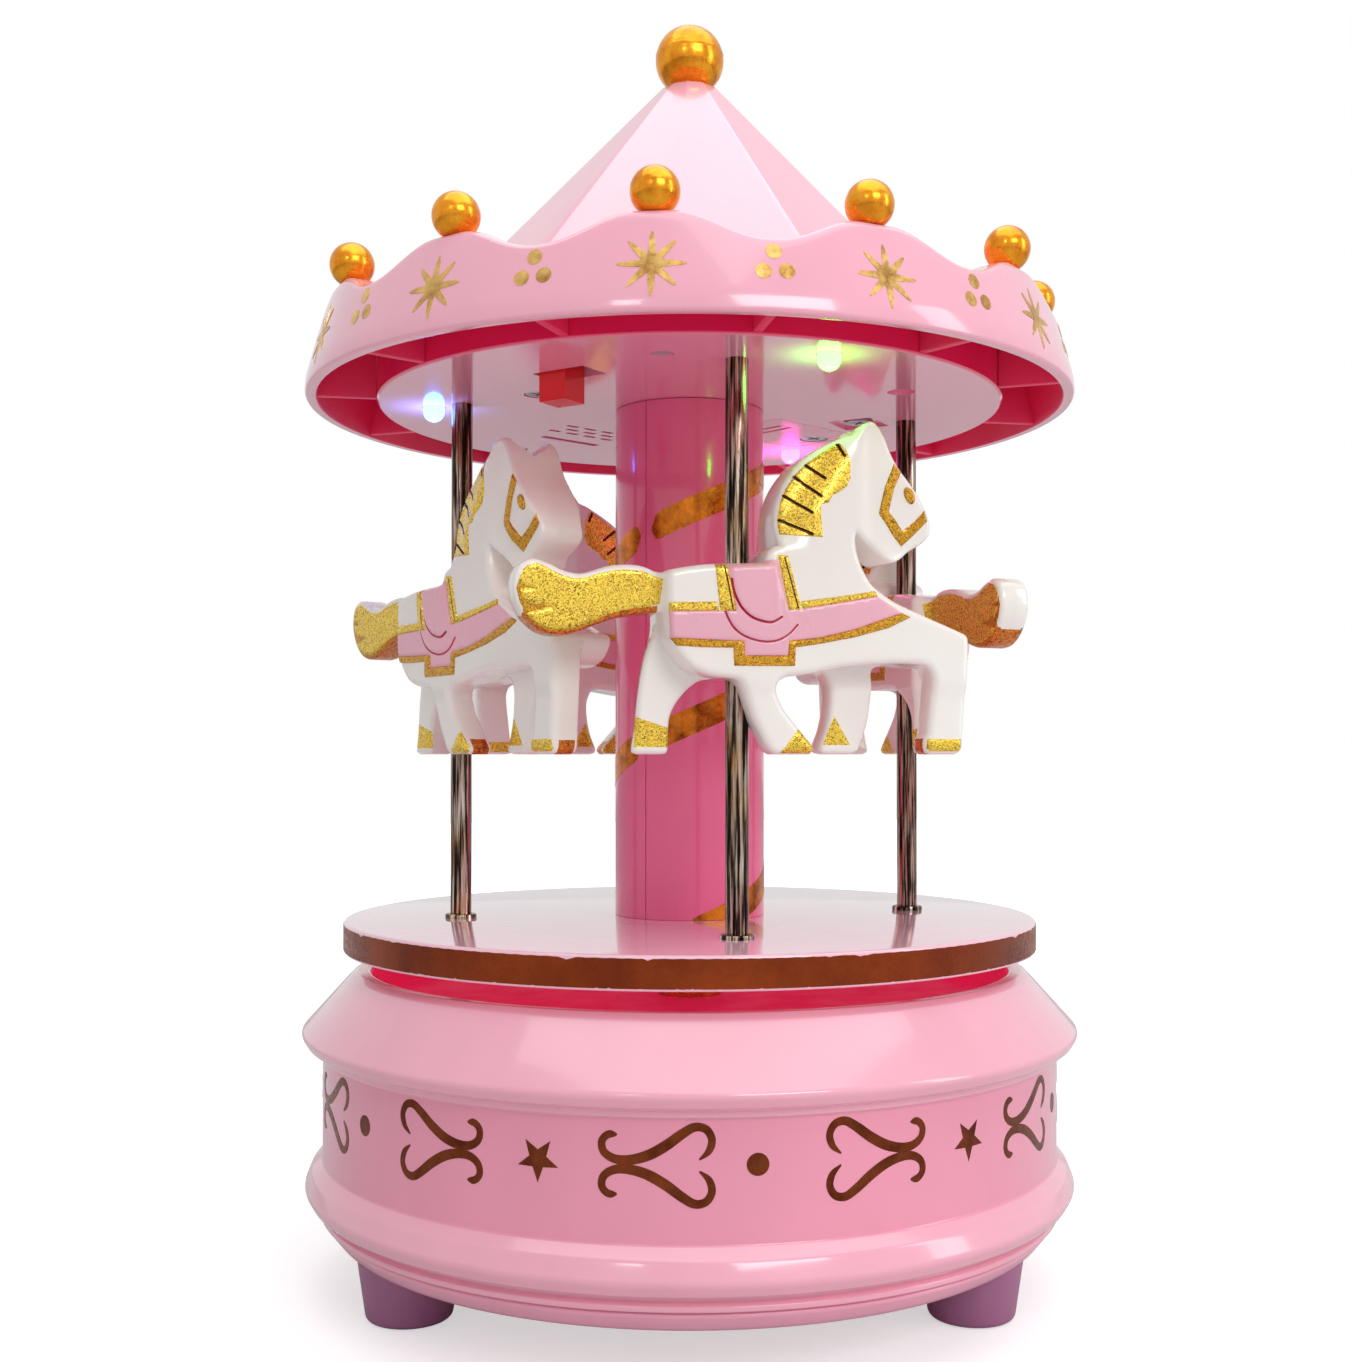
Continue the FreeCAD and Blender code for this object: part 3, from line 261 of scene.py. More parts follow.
def plated_pole():
    """Plated steel tube: dark and light streaking drawn out along it, with brassy and reddish patches; all
    of it is painted reflection of the studio and the pink and gold parts around it.
    """
    m = Material("plated_pole_metal", Metallic=1.0, Roughness=0.18)
    reflection_streaks = m.noise(0.45, 4.0, (1, 1, 0.04), 0.6)
    reflected_tint = m.noise(3.0, 3.0, (0.5, 0.5, 0.25))
    # Painted reflection: near-black to near-white bands along the tube, tinted brassy and reddish.
    base = m.ramp(reflection_streaks, [(0.34, (0.05, 0.04, 0.04)), (0.46, (0.24, 0.20, 0.18)),
                            (0.55, (0.72, 0.66, 0.60)), (0.70, (0.96, 0.94, 0.92))])
    reflected_hue = m.ramp(reflected_tint, [(0.30, (0.95, 0.72, 0.40)), (0.48, (0.92, 0.88, 0.86)), (0.72, (0.80, 0.48, 0.44))])
    mix = m.tree.nodes.new("ShaderNodeMix")
    mix.data_type = "RGBA"
    mix.blend_type = "MULTIPLY"
    mix.inputs["Factor"].default_value = 0.75
    m.link(base, mix.inputs["A"])
    m.link(reflected_hue, mix.inputs["B"])
    m.colour(mix.outputs["Result"])
    m.rough(m.ramp(reflection_streaks, [(0.3, 0.32), (0.7, 0.14)]))
    m.bump(m.noise(0.4, 4.0, (1, 1, 0.3)), 0.012)
    return m.material


pole_metal = plated_pole()


def lamp(name, colour, glow, lit=None):
    """Tinted clear lens over a lit chip."""
    m = Material(name, Roughness=0.08, IOR=1.5, Transmission_Weight=0.35, Coat_Weight=0.5)
    tone = m.noise(0.8, 2.0)
    m.colour(m.ramp(tone, [(0.3, shade(colour, 0.92)), (0.7, colour)]))
    m.shader.inputs["Emission Color"].default_value = linear(lit or colour)
    m.shader.inputs["Emission Strength"].default_value = glow
    return m.material


lamps = {"led_blue": lamp("lamp_blue", (0.45, 0.70, 1.0), 16.0, (0.22, 0.50, 1.0)),
         "led_green": lamp("lamp_green", (0.45, 1.0, 0.45), 16.0, (0.22, 1.0, 0.20)),
         "led_pink": lamp("lamp_pink", (1.0, 0.40, 0.90), 16.0, (1.0, 0.20, 0.80)),
         "led_clear": lamp("lamp_clear", (0.80, 0.78, 0.78), 0.0)}


# --- mesh helpers ---
def at(azimuth, radius, z=0.0):
    a = math.radians(azimuth)
    return Vector((radius * math.sin(a), -radius * math.cos(a), z))


def piece(name, points, faces, materials, body, indices=None, sharp=32.0, slot=None, replaces=()):
    """Makes a mesh object from points in millimetres and hands it to the frame."""
    mesh = bpy.data.meshes.new(name)
    mesh.from_pydata([tuple(c * MM for c in p) for p in points], [], faces)
    materials = materials if isinstance(materials, (list, tuple)) else [materials]
    for material in materials:
        mesh.materials.append(material)
    if indices is not None:
        mesh.polygons.foreach_set("material_index", indices)
    bm = bmesh.new()
    bm.from_mesh(mesh)
    bmesh.ops.remove_doubles(bm, verts=bm.verts, dist=1e-7)
    bmesh.ops.recalc_face_normals(bm, faces=bm.faces)
    bm.to_mesh(mesh)
    bm.free()
    mesh.shade_smooth()
    mesh.set_sharp_from_angle(angle=math.radians(sharp))
    obj = bpy.data.objects.new(name, mesh)
    bpy.context.scene.collection.objects.link(obj)
    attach(obj, body)
    for node in replaces:
        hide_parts(node)
    return obj


def skin(node, shape, materials, body, slot, **more):
    """The visible surface of one CAD node, in its place."""
    return piece(node + "_skin", *shape, materials, body, slot=slot, replaces=[node], **more)


def rounded(corners, steps=5):
    """Closed outline from corners (r, z, fillet radius), each fillet drawn as an arc."""
    outline = []
    count = len(corners)
    for i, (x, y, radius) in enumerate(corners):
        here = Vector((x, y))
        back = Vector(corners[i - 1][:2]) - here
        ahead = Vector(corners[(i + 1) % count][:2]) - here
        if radius <= 0:
            outline.append((x, y))
            continue
        half = back.angle(ahead) / 2
        reach = min(radius / math.tan(half), back.length * 0.49, ahead.length * 0.49)
        radius = reach * math.tan(half)
        centre = here + (back.normalized() + ahead.normalized()).normalized() * (radius / math.sin(half))
        start = here + back.normalized() * reach - centre
        end = here + ahead.normalized() * reach - centre
        sweep = start.angle_signed(end)
        for k in range(steps + 1):
            a = -sweep * k / steps
            turn = Matrix.Rotation(a, 2)
            outline.append(tuple(centre + turn @ start))
    return outline


def lathe(outline, segments=192, start=0.0, sweep=360.0, centre=(0.0, 0.0)):
    """Points and faces of a closed outline of (r, z) turned about a vertical axis."""
    full = abs(sweep) >= 359.99
    columns = segments if full else segments + 1
    points, faces = [], []
    for j in range(columns):
        for r, z in outline:
            p = at(start + sweep * j / segments, r, z)
            points.append((p.x + centre[0], p.y + centre[1], z))
    n = len(outline)
    for j in range(segments):
        a, b = j * n, ((j + 1) % columns) * n
        for i in range(n):
            k = (i + 1) % n
            ring = [a + i, b + i, b + k, a + k]
            if outline[i][0] < 1e-6:
                ring = [a + i, b + k, a + k]
                if outline[k][0] < 1e-6:
                    continue
            elif outline[k][0] < 1e-6:
                ring = [a + i, b + i, a + k]
            faces.append(ring)
    if not full:
        faces.append(list(range(n)))
        faces.append(list(range((columns - 1) * n, columns * n))[::-1])
    return points, faces


def joined(parts):
    points, faces = [], []
    for p, f in parts:
        shift = len(points)
        points += p
        faces += [[i + shift for i in face] for face in f]
    return points, faces


def bridged(rings, flip=False):
    """Closed ring of equal loops, each joined to the next."""
    n, count = len(rings[0]), len(rings)
    faces = []
    for j in range(count):
        a, b = j * n, ((j + 1) % count) * n
        for i in range(n):
            k = (i + 1) % n
            faces.append([a + i, a + k, b + k, b + i] if flip else [a + i, b + i, b + k, a + k])
    return [p for ring in rings for p in ring], faces


def face_middles(points, faces):
    """Distance from the axis and height of the middle of each face."""
    middles = [np.mean([points[i] for i in face], axis=0) for face in faces]
    return [(math.hypot(x, y), z) for x, y, z in middles]


def catmull(points, steps=8, closed=False):
    """Smooth curve through the points."""
    pts = [np.array(p, float) for p in points]
    if not closed:
        pts = [2 * pts[0] - pts[1]] + pts + [2 * pts[-1] - pts[-2]]
    else:
        pts = [pts[-1]] + pts + pts[:2]
    out = []
    for i in range(1, len(pts) - 2):
        p0, p1, p2, p3 = pts[i - 1:i + 3]
        for k in range(steps):
            t = k / steps
            out.append(0.5 * (2 * p1 + (p2 - p0) * t + (2 * p0 - 5 * p1 + 4 * p2 - p3) * t * t
                              + (3 * p1 - p0 - 3 * p2 + p3) * t ** 3))
    if not closed:
        out.append(pts[-2])
    return out


def sheet(grid, surface, lift=FOIL):
    """Thin closed foil: a grid of (u, v) laid on a surface(u, v, height)."""
    rows, columns = len(grid), len(grid[0])
    points = [tuple(surface(u, v, lift)) for row in grid for u, v in row]
    points += [tuple(surface(u, v, -SINK)) for row in grid for u, v in row]
    under = rows * columns
    faces = []
    for i in range(rows - 1):
        for j in range(columns - 1):
            a = i * columns + j
            quad = [a, a + 1, a + columns + 1, a + columns]
            faces.append(quad)
            faces.append([q + under for q in quad][::-1])
    edge = (list(range(columns)) + [i * columns + columns - 1 for i in range(1, rows)]
            + [(rows - 1) * columns + j for j in range(columns - 2, -1, -1)]
            + [i * columns for i in range(rows - 2, 0, -1)])
    for i, a in enumerate(edge):
        b = edge[(i + 1) % len(edge)]
        faces.append([a, a + under, b + under, b])
    return points, faces


def stroke(path, widths, surface, across=4, lift=FOIL):
    """A painted stroke of varying half-width along a path of (u, v)."""
    path = [np.array(p, float) for p in path]
    grid = []
    for i, p in enumerate(path):
        ahead = path[min(i + 1, len(path) - 1)] - path[max(i - 1, 0)]
        ahead /= np.linalg.norm(ahead)
        side = np.array([-ahead[1], ahead[0]])
        w = widths(i / (len(path) - 1))
        grid.append([tuple(p + side * w * (2 * k / across - 1)) for k in range(across + 1)])
    return sheet(grid, surface, lift)


def spot(centre, reach, surface, rays=32, rings=3):
    """A filled shape about a centre; reach(angle) is its radius."""
    ring_points = []
    for k in range(rays):
        a = 2 * math.pi * k / rays
        r = reach(a)
        ring_points.append((r * math.cos(a), r * math.sin(a)))
    points = [tuple(surface(*centre, FOIL))]
    for level in range(1, rings + 1):
        for x, y in ring_points:
            points.append(tuple(surface(centre[0] + x * level / rings, centre[1] + y * level / rings, FOIL)))
    faces = [[0, 1 + k, 1 + (k + 1) % rays] for k in range(rays)]
    for level in range(rings - 1):
        a, b = 1 + level * rays, 1 + (level + 1) * rays
        faces += [[a + k, b + k, b + (k + 1) % rays, a + (k + 1) % rays] for k in range(rays)]
    outer = 1 + (rings - 1) * rays
    low = len(points)
    points += [tuple(surface(centre[0] + x, centre[1] + y, -SINK)) for x, y in ring_points]
    points.append(tuple(surface(*centre, -SINK)))
    faces += [[outer + k, low + k, low + (k + 1) % rays, outer + (k + 1) % rays] for k in range(rays)]
    faces += [[low + (k + 1) % rays, low + k, low + rays] for k in range(rays)]
    return points, faces


# --- base ---
def build_base():
    lower_ring = [(50.0, 10.8, 0), (51.95, 10.8, 0.3), (51.95, 11.5, 0.25), (51.2, 12.0, 0.3),
                  (51.5, 12.7, 0.4), (53.2, 12.9, 0.6), (54.15, 14.5, 1.3), (53.2, 16.9, 1.4)]
    upper_ring = [(52.35, 32.75, 0.2), (52.5, 33.5, 0.3), (53.9, 34.1, 0.4), (54.75, 35.5, 0.9)]
    lip = [(47.9, 43.0, 1.2), (46.9, LIP_Z, 0.6), (45.4, LIP_Z, 0.5), (DECK_R, 43.0, 0.5)]
    deck = [(DECK_R, DECK_Z, 0.4), (3.25, DECK_Z, 0), (3.25, 37.0, 0), (47.0, 37.0, 0), (50.0, 33.5, 0)]
    shell = rounded(lower_ring + [(WALL_R, 18.3, 0.5), (WALL_R, 32.6, 0.2)] + upper_ring + lip + deck, 6)
    bosses = []
    for k in range(3):
        x, y, _ = at(-10 + 120 * k, 45.5)
        bosses.append(lathe([(0.85, 9.7), (3.0, 9.7), (3.0, 37.4), (0.85, 37.4)], 24, centre=(x, y)))
    points, faces = joined([lathe(shell, 256)] + bosses)
    indices = []
    for radius, z in face_middles(points, faces):
        # Painted shade: faces of the deck below the lip take the deep crimson deck material.
        deck_painted_shade = radius < DECK_R + 0.3 and DECK_Z - 1.0 < z < LIP_Z - 0.2
        # Painted shade: faces of the upright wall take the darker wall pink.
        wall = radius > WALL_R - 1.2 and WALL_SPAN[0] < z < WALL_SPAN[1]
        indices.append(2 if deck_painted_shade else 1 if wall else 0)
    skin("base_shell", (points, faces), [pink_shell, pink_wall_shaded, pink_deck_shade_and_glow], "base", "pink_shell",
         indices=indices)

    tray = rounded([(0, 7.7, 0), (49.3, 7.7, 2.6), (51.6, 10.55, 0.5), (49.9, 10.6, 0), (49.9, 14.0, 0.2),
                    (48.5, 14.0, 0.2), (48.5, 9.5, 0.3), (0, 9.5, 0)], 6)
    skin("bottom_tray", lathe(tray, 256), pink_tray, "base", "pink_tray")
    foot = rounded([(0, 0, 0), (5.6, 0, 0.9), (6.75, 7.75, 0.1), (2.2, 7.75, 0), (2.2, 9.45, 0),
                    (0, 9.45, 0)], 6)
    for k in range(3):
        x, y, _ = at(50 + 120 * k, 42.5)
        skin("foot_%d" % (k + 1), lathe(foot, 72, centre=(x, y)), mauve_foot, "base", "mauve_feet")


def on_wall(u, v, h, middle):
    """Point on the base wall: u millimetres round from the middle azimuth, v up from mid-height."""
    return at(middle + math.degrees(u / WALL_R), WALL_R + h, WALL_MIDDLE + v)


SCROLL = [(-5.0, 0.65), (-6.05, 1.6), (-6.4, 2.9), (-5.75, 4.05), (-4.45, 4.3), (-3.0, 3.5), (-1.2, 2.2),
          (0.8, 1.1), (2.8, 0.55), (4.6, 0.6), (5.85, 1.35), (6.1, 2.5), (5.4, 3.3), (4.35, 3.35)]


def scroll_width(t):
    swell = 0.43 + 0.18 * math.exp(-((t - 0.5) / 0.2) ** 2)
    taper = min(1.0, t / 0.12, (1 - t) / 0.06)
    return 0.10 + (swell - 0.10) * math.sin(math.pi / 2 * max(0.0, taper))


def star_reach(points, outer, inner, turn):
    """Radius of a straight-sided star at an angle."""
    def reach(angle):
        step = 2 * math.pi / points
        a = (angle - turn) % step
        a = min(a, step - a)
        half = step / 2
        return outer * inner * math.sin(half) / (outer * math.sin(a) + inner * math.sin(half - a))
    return reach


def build_base_foil():
    parts = []
    for k in range(6):
        star = -30.0 + 60 * k
        def wall(u, v, h, star=star):
            return on_wall(u, v, h, star)
        parts.append(spot((0, 0), star_reach(5, 2.65, 1.1, -math.pi / 2), wall, 60))
        parts.append(spot((math.radians(28.2) * WALL_R, 0), lambda a: 1.3, wall, 32))
        for side in (-1, 1):
            middle = side * math.radians(15.3) * WALL_R
            for up in (-1, 1):
                path = [(middle - side * u, up * v) for u, v in catmull(SCROLL, 6)]
                parts.append(stroke(path, scroll_width, wall))
    piece("base_wall_foil", *joined(parts), bronze_foil, "base", sharp=60)


# --- platform, column and poles ---
def build_platform():
    disc = rounded([(2.05, PLATFORM_TOP, 0), (2.05, 41.4, 0), (6.0, 41.4, 0.3), (6.0, 48.3, 0.4),
                    (47.2, 48.3, 0.5), (47.2, PLATFORM_EDGE_Z, 0.2), (PLATFORM_R, PLATFORM_EDGE_Z, 0.35),
                    (PLATFORM_R, PLATFORM_TOP, 0.45)], 5)
    skin("platform", lathe(disc, 256), pink_platform, "carousel", "pink_platform")
    rng = np.random.RandomState(5)
    steps = 1080
    chips = np.zeros(steps + 1)
    for _ in range(26):
        place, width, depth = rng.randint(0, steps), rng.randint(1, 4), rng.uniform(0.08, 0.35)
        for j in range(-width, width + 1):
            chips[(place + j) % steps] = max(chips[(place + j) % steps], depth * (1 - abs(j) / (width + 1)))
    chips[-1] = chips[0]
    rows = []
    for j in range(steps + 1):
        top = PLATFORM_TOP - 0.38 - chips[j] - 0.02 * math.sin(j * 0.9)
        low = PLATFORM_EDGE_Z + 0.32 + chips[(j * 7 + 400) % steps] * 0.4
        rows.append([(360.0 * j / steps, low + (top - low) * t) for t in (0, 0.25, 0.5, 0.75, 1)])
    band = sheet(rows, lambda u, v, h: at(u, PLATFORM_R + min(h, 0.03), v), lift=0.03)
    piece("platform_edge_foil", *band, copper_foil, "carousel", sharp=60)


def helix_band(z_middle, half_width=1.95, end_radius=1.3):
    """Grid of one round-ended stretch of the helix, cut off level at the ends of the column."""
    reach = math.radians(90 - 5.2) * COLUMN_R
    slope = HELIX_PITCH / (2 * math.pi * COLUMN_R)
    grid = []
    for i in range(49):
        u = reach * (2 * i / 48 - 1)
        from_end = min(reach - abs(u), end_radius)
        half = max(half_width * math.sqrt(max(0.0, 1 - (1 - from_end / end_radius) ** 2)), 0.25)
        centre = z_middle + u * slope
        low = min(max(centre - half, PLATFORM_TOP + 0.06), RIM_BOTTOM - 0.2)
        high = min(max(centre + half, PLATFORM_TOP + 0.06), RIM_BOTTOM - 0.2)
        if high - low > 0.05:
            grid.append([(u, low + (high - low) * k / 4) for k in range(5)])
    return grid if len(grid) > 3 else None


def build_column():
    """Two halves with a fine gap between them, and the foil that winds up round both."""
    gap = math.degrees(0.07 / COLUMN_R)
    for name, start in (("column_right_half", -45.0), ("column_left_half", 135.0)):
        inner, low, high = COLUMN_R - COLUMN_WALL, PLATFORM_TOP, RIM_BOTTOM - 0.05
        wall = rounded([(inner, low, 0), (COLUMN_R, low, 0.12), (COLUMN_R, high, 0.12), (inner, high, 0)], 4)
        skin(name, lathe(wall, 64, start + gap, 180 - 2 * gap), pink_column, "carousel", "pink_column")
        middle = start + 90

        def on_column(u, v, h):
            return at(middle + math.degrees(u / COLUMN_R), COLUMN_R + h, v)
        bands = []
        for turn in range(-2, 2):
            grid = helix_band(107.3 + (middle + 10.4) / 360 * HELIX_PITCH + HELIX_PITCH * turn)
            if grid:
                bands.append(sheet(grid, on_column))
        piece(name + "_band", *joined(bands), column_foil, "carousel", sharp=60)


def build_poles():
    low, high = POLE_Z
    tube = rounded([(0, low, 0), (POLE_R, low, 0.2), (POLE_R, high, 0.2), (0, high, 0)], 4)
    turned = []
    for r, z in tube:
        turned.append((r, z))
        if abs(r - POLE_R) < 1e-6 and abs(z - (low + 0.2)) < 1e-6:
            turned += [(POLE_R, low + s) for s in range(2, 77, 3)]
    inner, under, over = POLE_R + 0.01, PLATFORM_TOP - 0.05, PLATFORM_TOP + 0.6
    collar = rounded([(inner, under, 0), (2.2, under, 0), (2.2, over, 0.25), (inner, over, 0.1)], 4)
    collars = []
    for k in range(4):
        x, y, _ = at(90 * k, POLE_CIRCLE)
        skin("pole_%d" % (k + 1), lathe(turned, 40, centre=(x, y)), pole_metal, "carousel", "plated_pole")
        collars.append(lathe(collar, 40, centre=(x, y)))
    skin("pole_collars", joined(collars), pole_metal, "carousel", "plated_collar")


# --- canopy ---
def rim_radius(z):
    """Outside of the rim, leaning in a little more as it rises."""
    up = z - 123.8
    return 54.7 - 0.245 * up - 0.0035 * up ** 2


def crown(azimuth):
    """Height of the scalloped top edge, with a peak under each ball."""
    off = abs(azimuth % 30.0 - 15.0)
    t = min(1.0, max(0.0, (off - 2.4) / 12.6))
    return VALLEY + (PEAK - VALLEY) * (0.5 + 0.5 * math.cos(math.pi * t)) ** 1.15


def on_rim(u, v, h, middle):
    """Point on the outside of the rim; lifted square to its lean."""
    z = RIM_FOIL_Z + v
    return at(middle + math.degrees(u / 53.4), rim_radius(z) + h * 0.97, z + h * 0.25)


def rim_section(azimuth):
    top = crown(azimuth)
    outer = [(rim_radius(z), z, 0) for z in np.linspace(125.0, top - 1.6, 7)]
    edge = [(52.9, RIM_BOTTOM, 0.35), (54.55, RIM_BOTTOM, 0.5)]
    channel = [(rim_radius(top), top, 1.15), (47.3, top, 0.7), (46.75, SHELF - 0.02, 0.25), (38.0, SHELF, 0),
               (35.5, SHELF, 0), (35.5, SHELF - 1.4, 0), (50.9, SHELF - 1.4, 0.5)]
    return rounded(edge + outer + channel, 6)


def rim_rib(azimuth, height=7.9):
    """Thin tapered wall from the underplate's edge to the rim."""
    profile = rounded([(-0.6, 0, 0.15), (0.6, 0, 0.15), (0.45, height, 0), (-0.45, height, 0)], 3)
    c, s = math.cos(math.radians(azimuth)), math.sin(math.radians(azimuth))
    near, far = [], []
    for x, z in profile:
        for end, y in ((near, -UNDERPLATE_R - 0.05), (far, -53.6 + (z / height) * 2.0)):
            end.append((x * c - y * s, x * s + y * c, RIM_BOTTOM + 0.35 + z))
    m = len(profile)
    faces = [[i, (i + 1) % m, m + (i + 1) % m, m + i] for i in range(m)]
    return near + far, faces + [list(range(m))[::-1], list(range(m, 2 * m))]


def build_rim():
    segments = 720
    rings = []
    for j in range(segments):
        azimuth = 360.0 * j / segments
        rings.append([tuple(at(azimuth, r, z)) for r, z in rim_section(azimuth)])
    points, faces = joined([bridged(rings)] + [rim_rib(30 * k) for k in range(12)])
    indices = []
    for radius, z in face_middles(points, faces):
        # Painted shade: the inside faces of the rim take the deep crimson inside material.
        inner = radius < 53.1 - 0.26 * (z - RIM_BOTTOM) and RIM_BOTTOM + 0.05 < z < SHELF - 1.0
        indices.append(1 if inner else 0)
    skin("canopy_rim", (points, faces), [pink_shell, pink_inside_shaded], "carousel", "pink_shell", indices=indices)


def build_rim_foil():
    """An eight-rayed star below each ball and three dots between each two stars."""
    parts = []
    for k in range(12):
        def face(u, v, h, middle=15.0 + 30 * k):
            return on_rim(u, v, h, middle)

        def gap(u, v, h, middle=30.0 * k):
            return on_rim(u, v, h, middle)
        parts.append(spot((0, 0), lambda a: 1.05, face, 24, 1))
        for ray in range(8):
            a, slant = math.pi / 4 * ray, ray % 2
            path = [(math.cos(a) * s, math.sin(a) * s) for s in np.linspace(0.35, 4.0 - 0.1 * slant, 10)]
            parts.append(stroke(path, lambda t: 0.46 * (1 - t) ** 0.55 + 0.07, face, 2,
                                FOIL + 0.008 * (slant + 1)))
        for centre in ((0.0, 1.75), (-1.35, -0.75), (1.4, -0.65)):
            parts.append(spot(centre, lambda a: 0.95, gap, 28, 2))
    piece("canopy_rim_foil", *joined(parts), rim_foil, "carousel", sharp=60)


def ball_outline(radius, z, base, neck):
    """Round knob with a fine moulding line a little above its middle."""
    outline = [(0, base - neck[1]), (neck[0], base - neck[1]), (neck[0], base)]
    low = math.asin((base - z) / radius)
    for i in range(41):
        a = low + (math.pi / 2 - low) * i / 40
        swell = 0.035 * radius / 2.95 * math.exp(-((math.degrees(a) - 9) / 1.6) ** 2)
        full = radius + swell
        outline.append((full * math.cos(a) if i < 40 else 0.0, z + full * math.sin(a)))
    return outline


def build_balls():
    parts = []
    for k in range(12):
        x, y, _ = at(15 + 30 * k, BALL_CIRCLE)
        parts.append(lathe(ball_outline(2.95, 138.3, 135.72, (1.0, 2.4)), 56, centre=(x, y)))
    skin("rim_balls", joined(parts), ball_gold, "carousel", "gold_ball")
    top = ball_outline(4.96, 174.7, ROOF_TOP, (1.6, 3.0))
    skin("top_ball", lathe(top, 96), ball_gold, "carousel", "gold_ball")


def build_roof():
    """Twelve flat facets with softly rounded ridges."""
    def ring(radius, z):
        corners = [tuple(at(15 + 30 * k, radius)[:2]) + (radius / ROOF_R * 3.5,) for k in range(12)]
        return [(x, y, z) for x, y in rounded(corners, 6)]
    levels = [(ROOF_R, SHELF), (ROOF_R - 0.1, SHELF + 0.15)]
    for t in np.linspace(0.03, 0.985, 24):
        levels.append((ROOF_R + (3.85 - ROOF_R) * t, SHELF + (ROOF_TOP - SHELF) * t))
    levels += [(3.85, ROOF_TOP - 0.25), (3.4, ROOF_TOP - 0.02), (1.7, ROOF_TOP), (1.7, 167.0), (3.0, 166.5),
               (37.4, SHELF)]
    shape = bridged([ring(r, z) for r, z in levels], flip=True)
    skin("canopy_roof", shape, pink_shell, "carousel", "pink_shell", sharp=30)


LEDS = {"led_clear": (-16.0, 35.1), "led_green": (16.0, 38.9), "led_blue": (-94.0, 36.8),
        "led_pink": (140.0, 33.4)}


def build_leds():
    """Round-ended lamps; the clear one sits almost flush in its hole."""
    for name, (azimuth, radius) in LEDS.items():
        x, y, _ = at(azimuth, radius)
        rest, depth = (123.7, 0.4) if name == "led_clear" else (122.5, 1.5)
        dome = [(0, rest - depth)]
        for a in range(6, 91, 6):
            dome.append((1.5 * math.sin(math.radians(a)), rest - depth * math.cos(math.radians(a))))
        dome += [(1.5, 124.7), (1.9, 124.7), (1.9, 125.5), (1.5, 125.5), (1.5, 126.0), (0, 126.0)]
        piece(name + "_lens", *lathe(dome, 40, centre=(x, y)), lamps[name], "carousel", slot=name,
              replaces=[name])


# --- horses ---
# A horse is drawn in its own plane: forward from the pole, and up from the hooves.
BACK = [
    [(-10.6, 22.15), (-9.6, 22.5), (-7.0, 23.0), (-4.4, 23.3), (1.4, 23.6), (2.2, 23.8)],
    [(2.2, 23.8), (2.6, 24.9), (3.3, 25.6), (4.05, 25.9)],
    [(4.05, 25.9), (3.85, 27.2), (3.75, 28.8), (4.0, 30.9), (4.8, 33.1), (6.0, 35.0), (7.5, 36.7),
     (9.4, 38.1), (11.0, 39.0), (12.6, 39.75), (14.1, 40.2)],
    [(14.1, 40.2), (14.9, 41.2), (15.9, 41.8), (16.8, 41.9), (17.6, 41.2), (18.4, 39.9)],
    [(18.4, 39.9), (19.1, 38.2), (19.8, 36.9), (20.6, 35.8), (22.0, 34.1), (24.0, 31.5), (24.7, 30.2),
     (25.0, 28.9), (24.7, 27.7), (23.6, 26.7), (22.1, 25.8), (21.1, 25.0), (20.0, 24.4), (19.1, 24.3),
     (17.8, 25.1), (16.4, 26.2), (14.4, 27.7)],
    [(14.4, 27.7), (14.3, 26.6), (14.6, 25.0), (15.3, 23.2), (16.5, 21.3), (18.6, 19.8), (20.6, 18.8),
     (26.4, 16.5), (29.3, 15.4)]]
REAR = [(-2.4, 9.35), (-4.7, 9.6), (-7.0, 10.4), (-8.7, 12.0), (-9.8, 13.7), (-10.35, 15.5),
        (-10.55, 17.35)]
TAIL = [(-10.55, 17.35), (-12.7, 17.15), (-15.6, 16.7), (-18.5, 15.7), (-21.3, 14.65), (-23.6, 14.4),
        (-25.5, 14.9), (-27.2, 16.3), (-28.3, 18.2), (-28.7, 20.3), (-28.2, 22.3), (-27.2, 23.2),
        (-26.0, 23.5), (-24.1, 22.9), (-22.7, 22.25), (-21.2, 21.9), (-19.9, 21.95), (-17.1, 22.85),
        (-14.6, 23.15), (-12.6, 22.95), (-10.6, 22.15)]
NEAR_LEGS = [
    [(29.3, 15.4), (29.7, 14.7), (29.75, 12.5), (29.6, 9.9), (29.1, 2.9)],
    [(29.1, 2.9), (29.0, 1.2), (28.6, 0.3), (27.9, 0.0)],
    [(27.9, 0.0), (24.8, 0.0)],
    [(24.8, 0.0), (24.0, 0.2), (23.7, 0.8), (23.7, 1.7), (23.9, 2.2), (24.1, 2.6)],
    [(24.1, 2.6), (24.35, 5.0), (24.7, 8.5), (24.6, 10.0), (23.9, 11.0), (22.4, 11.4), (18.6, 11.4),
     (12.4, 10.9), (9.6, 10.3), (6.4, 9.75), (4.9, 9.5), (4.0, 8.8), (3.85, 7.8), (4.4, 6.4), (5.2, 5.1),
     (8.5, 1.3)],
    [(8.5, 1.3), (8.8, 0.6), (8.3, 0.0)],
    [(8.3, 0.0), (3.7, 0.0)],
    [(3.7, 0.0), (2.8, 0.6), (1.9, 2.2), (0.9, 4.2), (0.1, 6.4), (-0.6, 8.3), (-1.3, 9.1), (-2.4, 9.35)]]
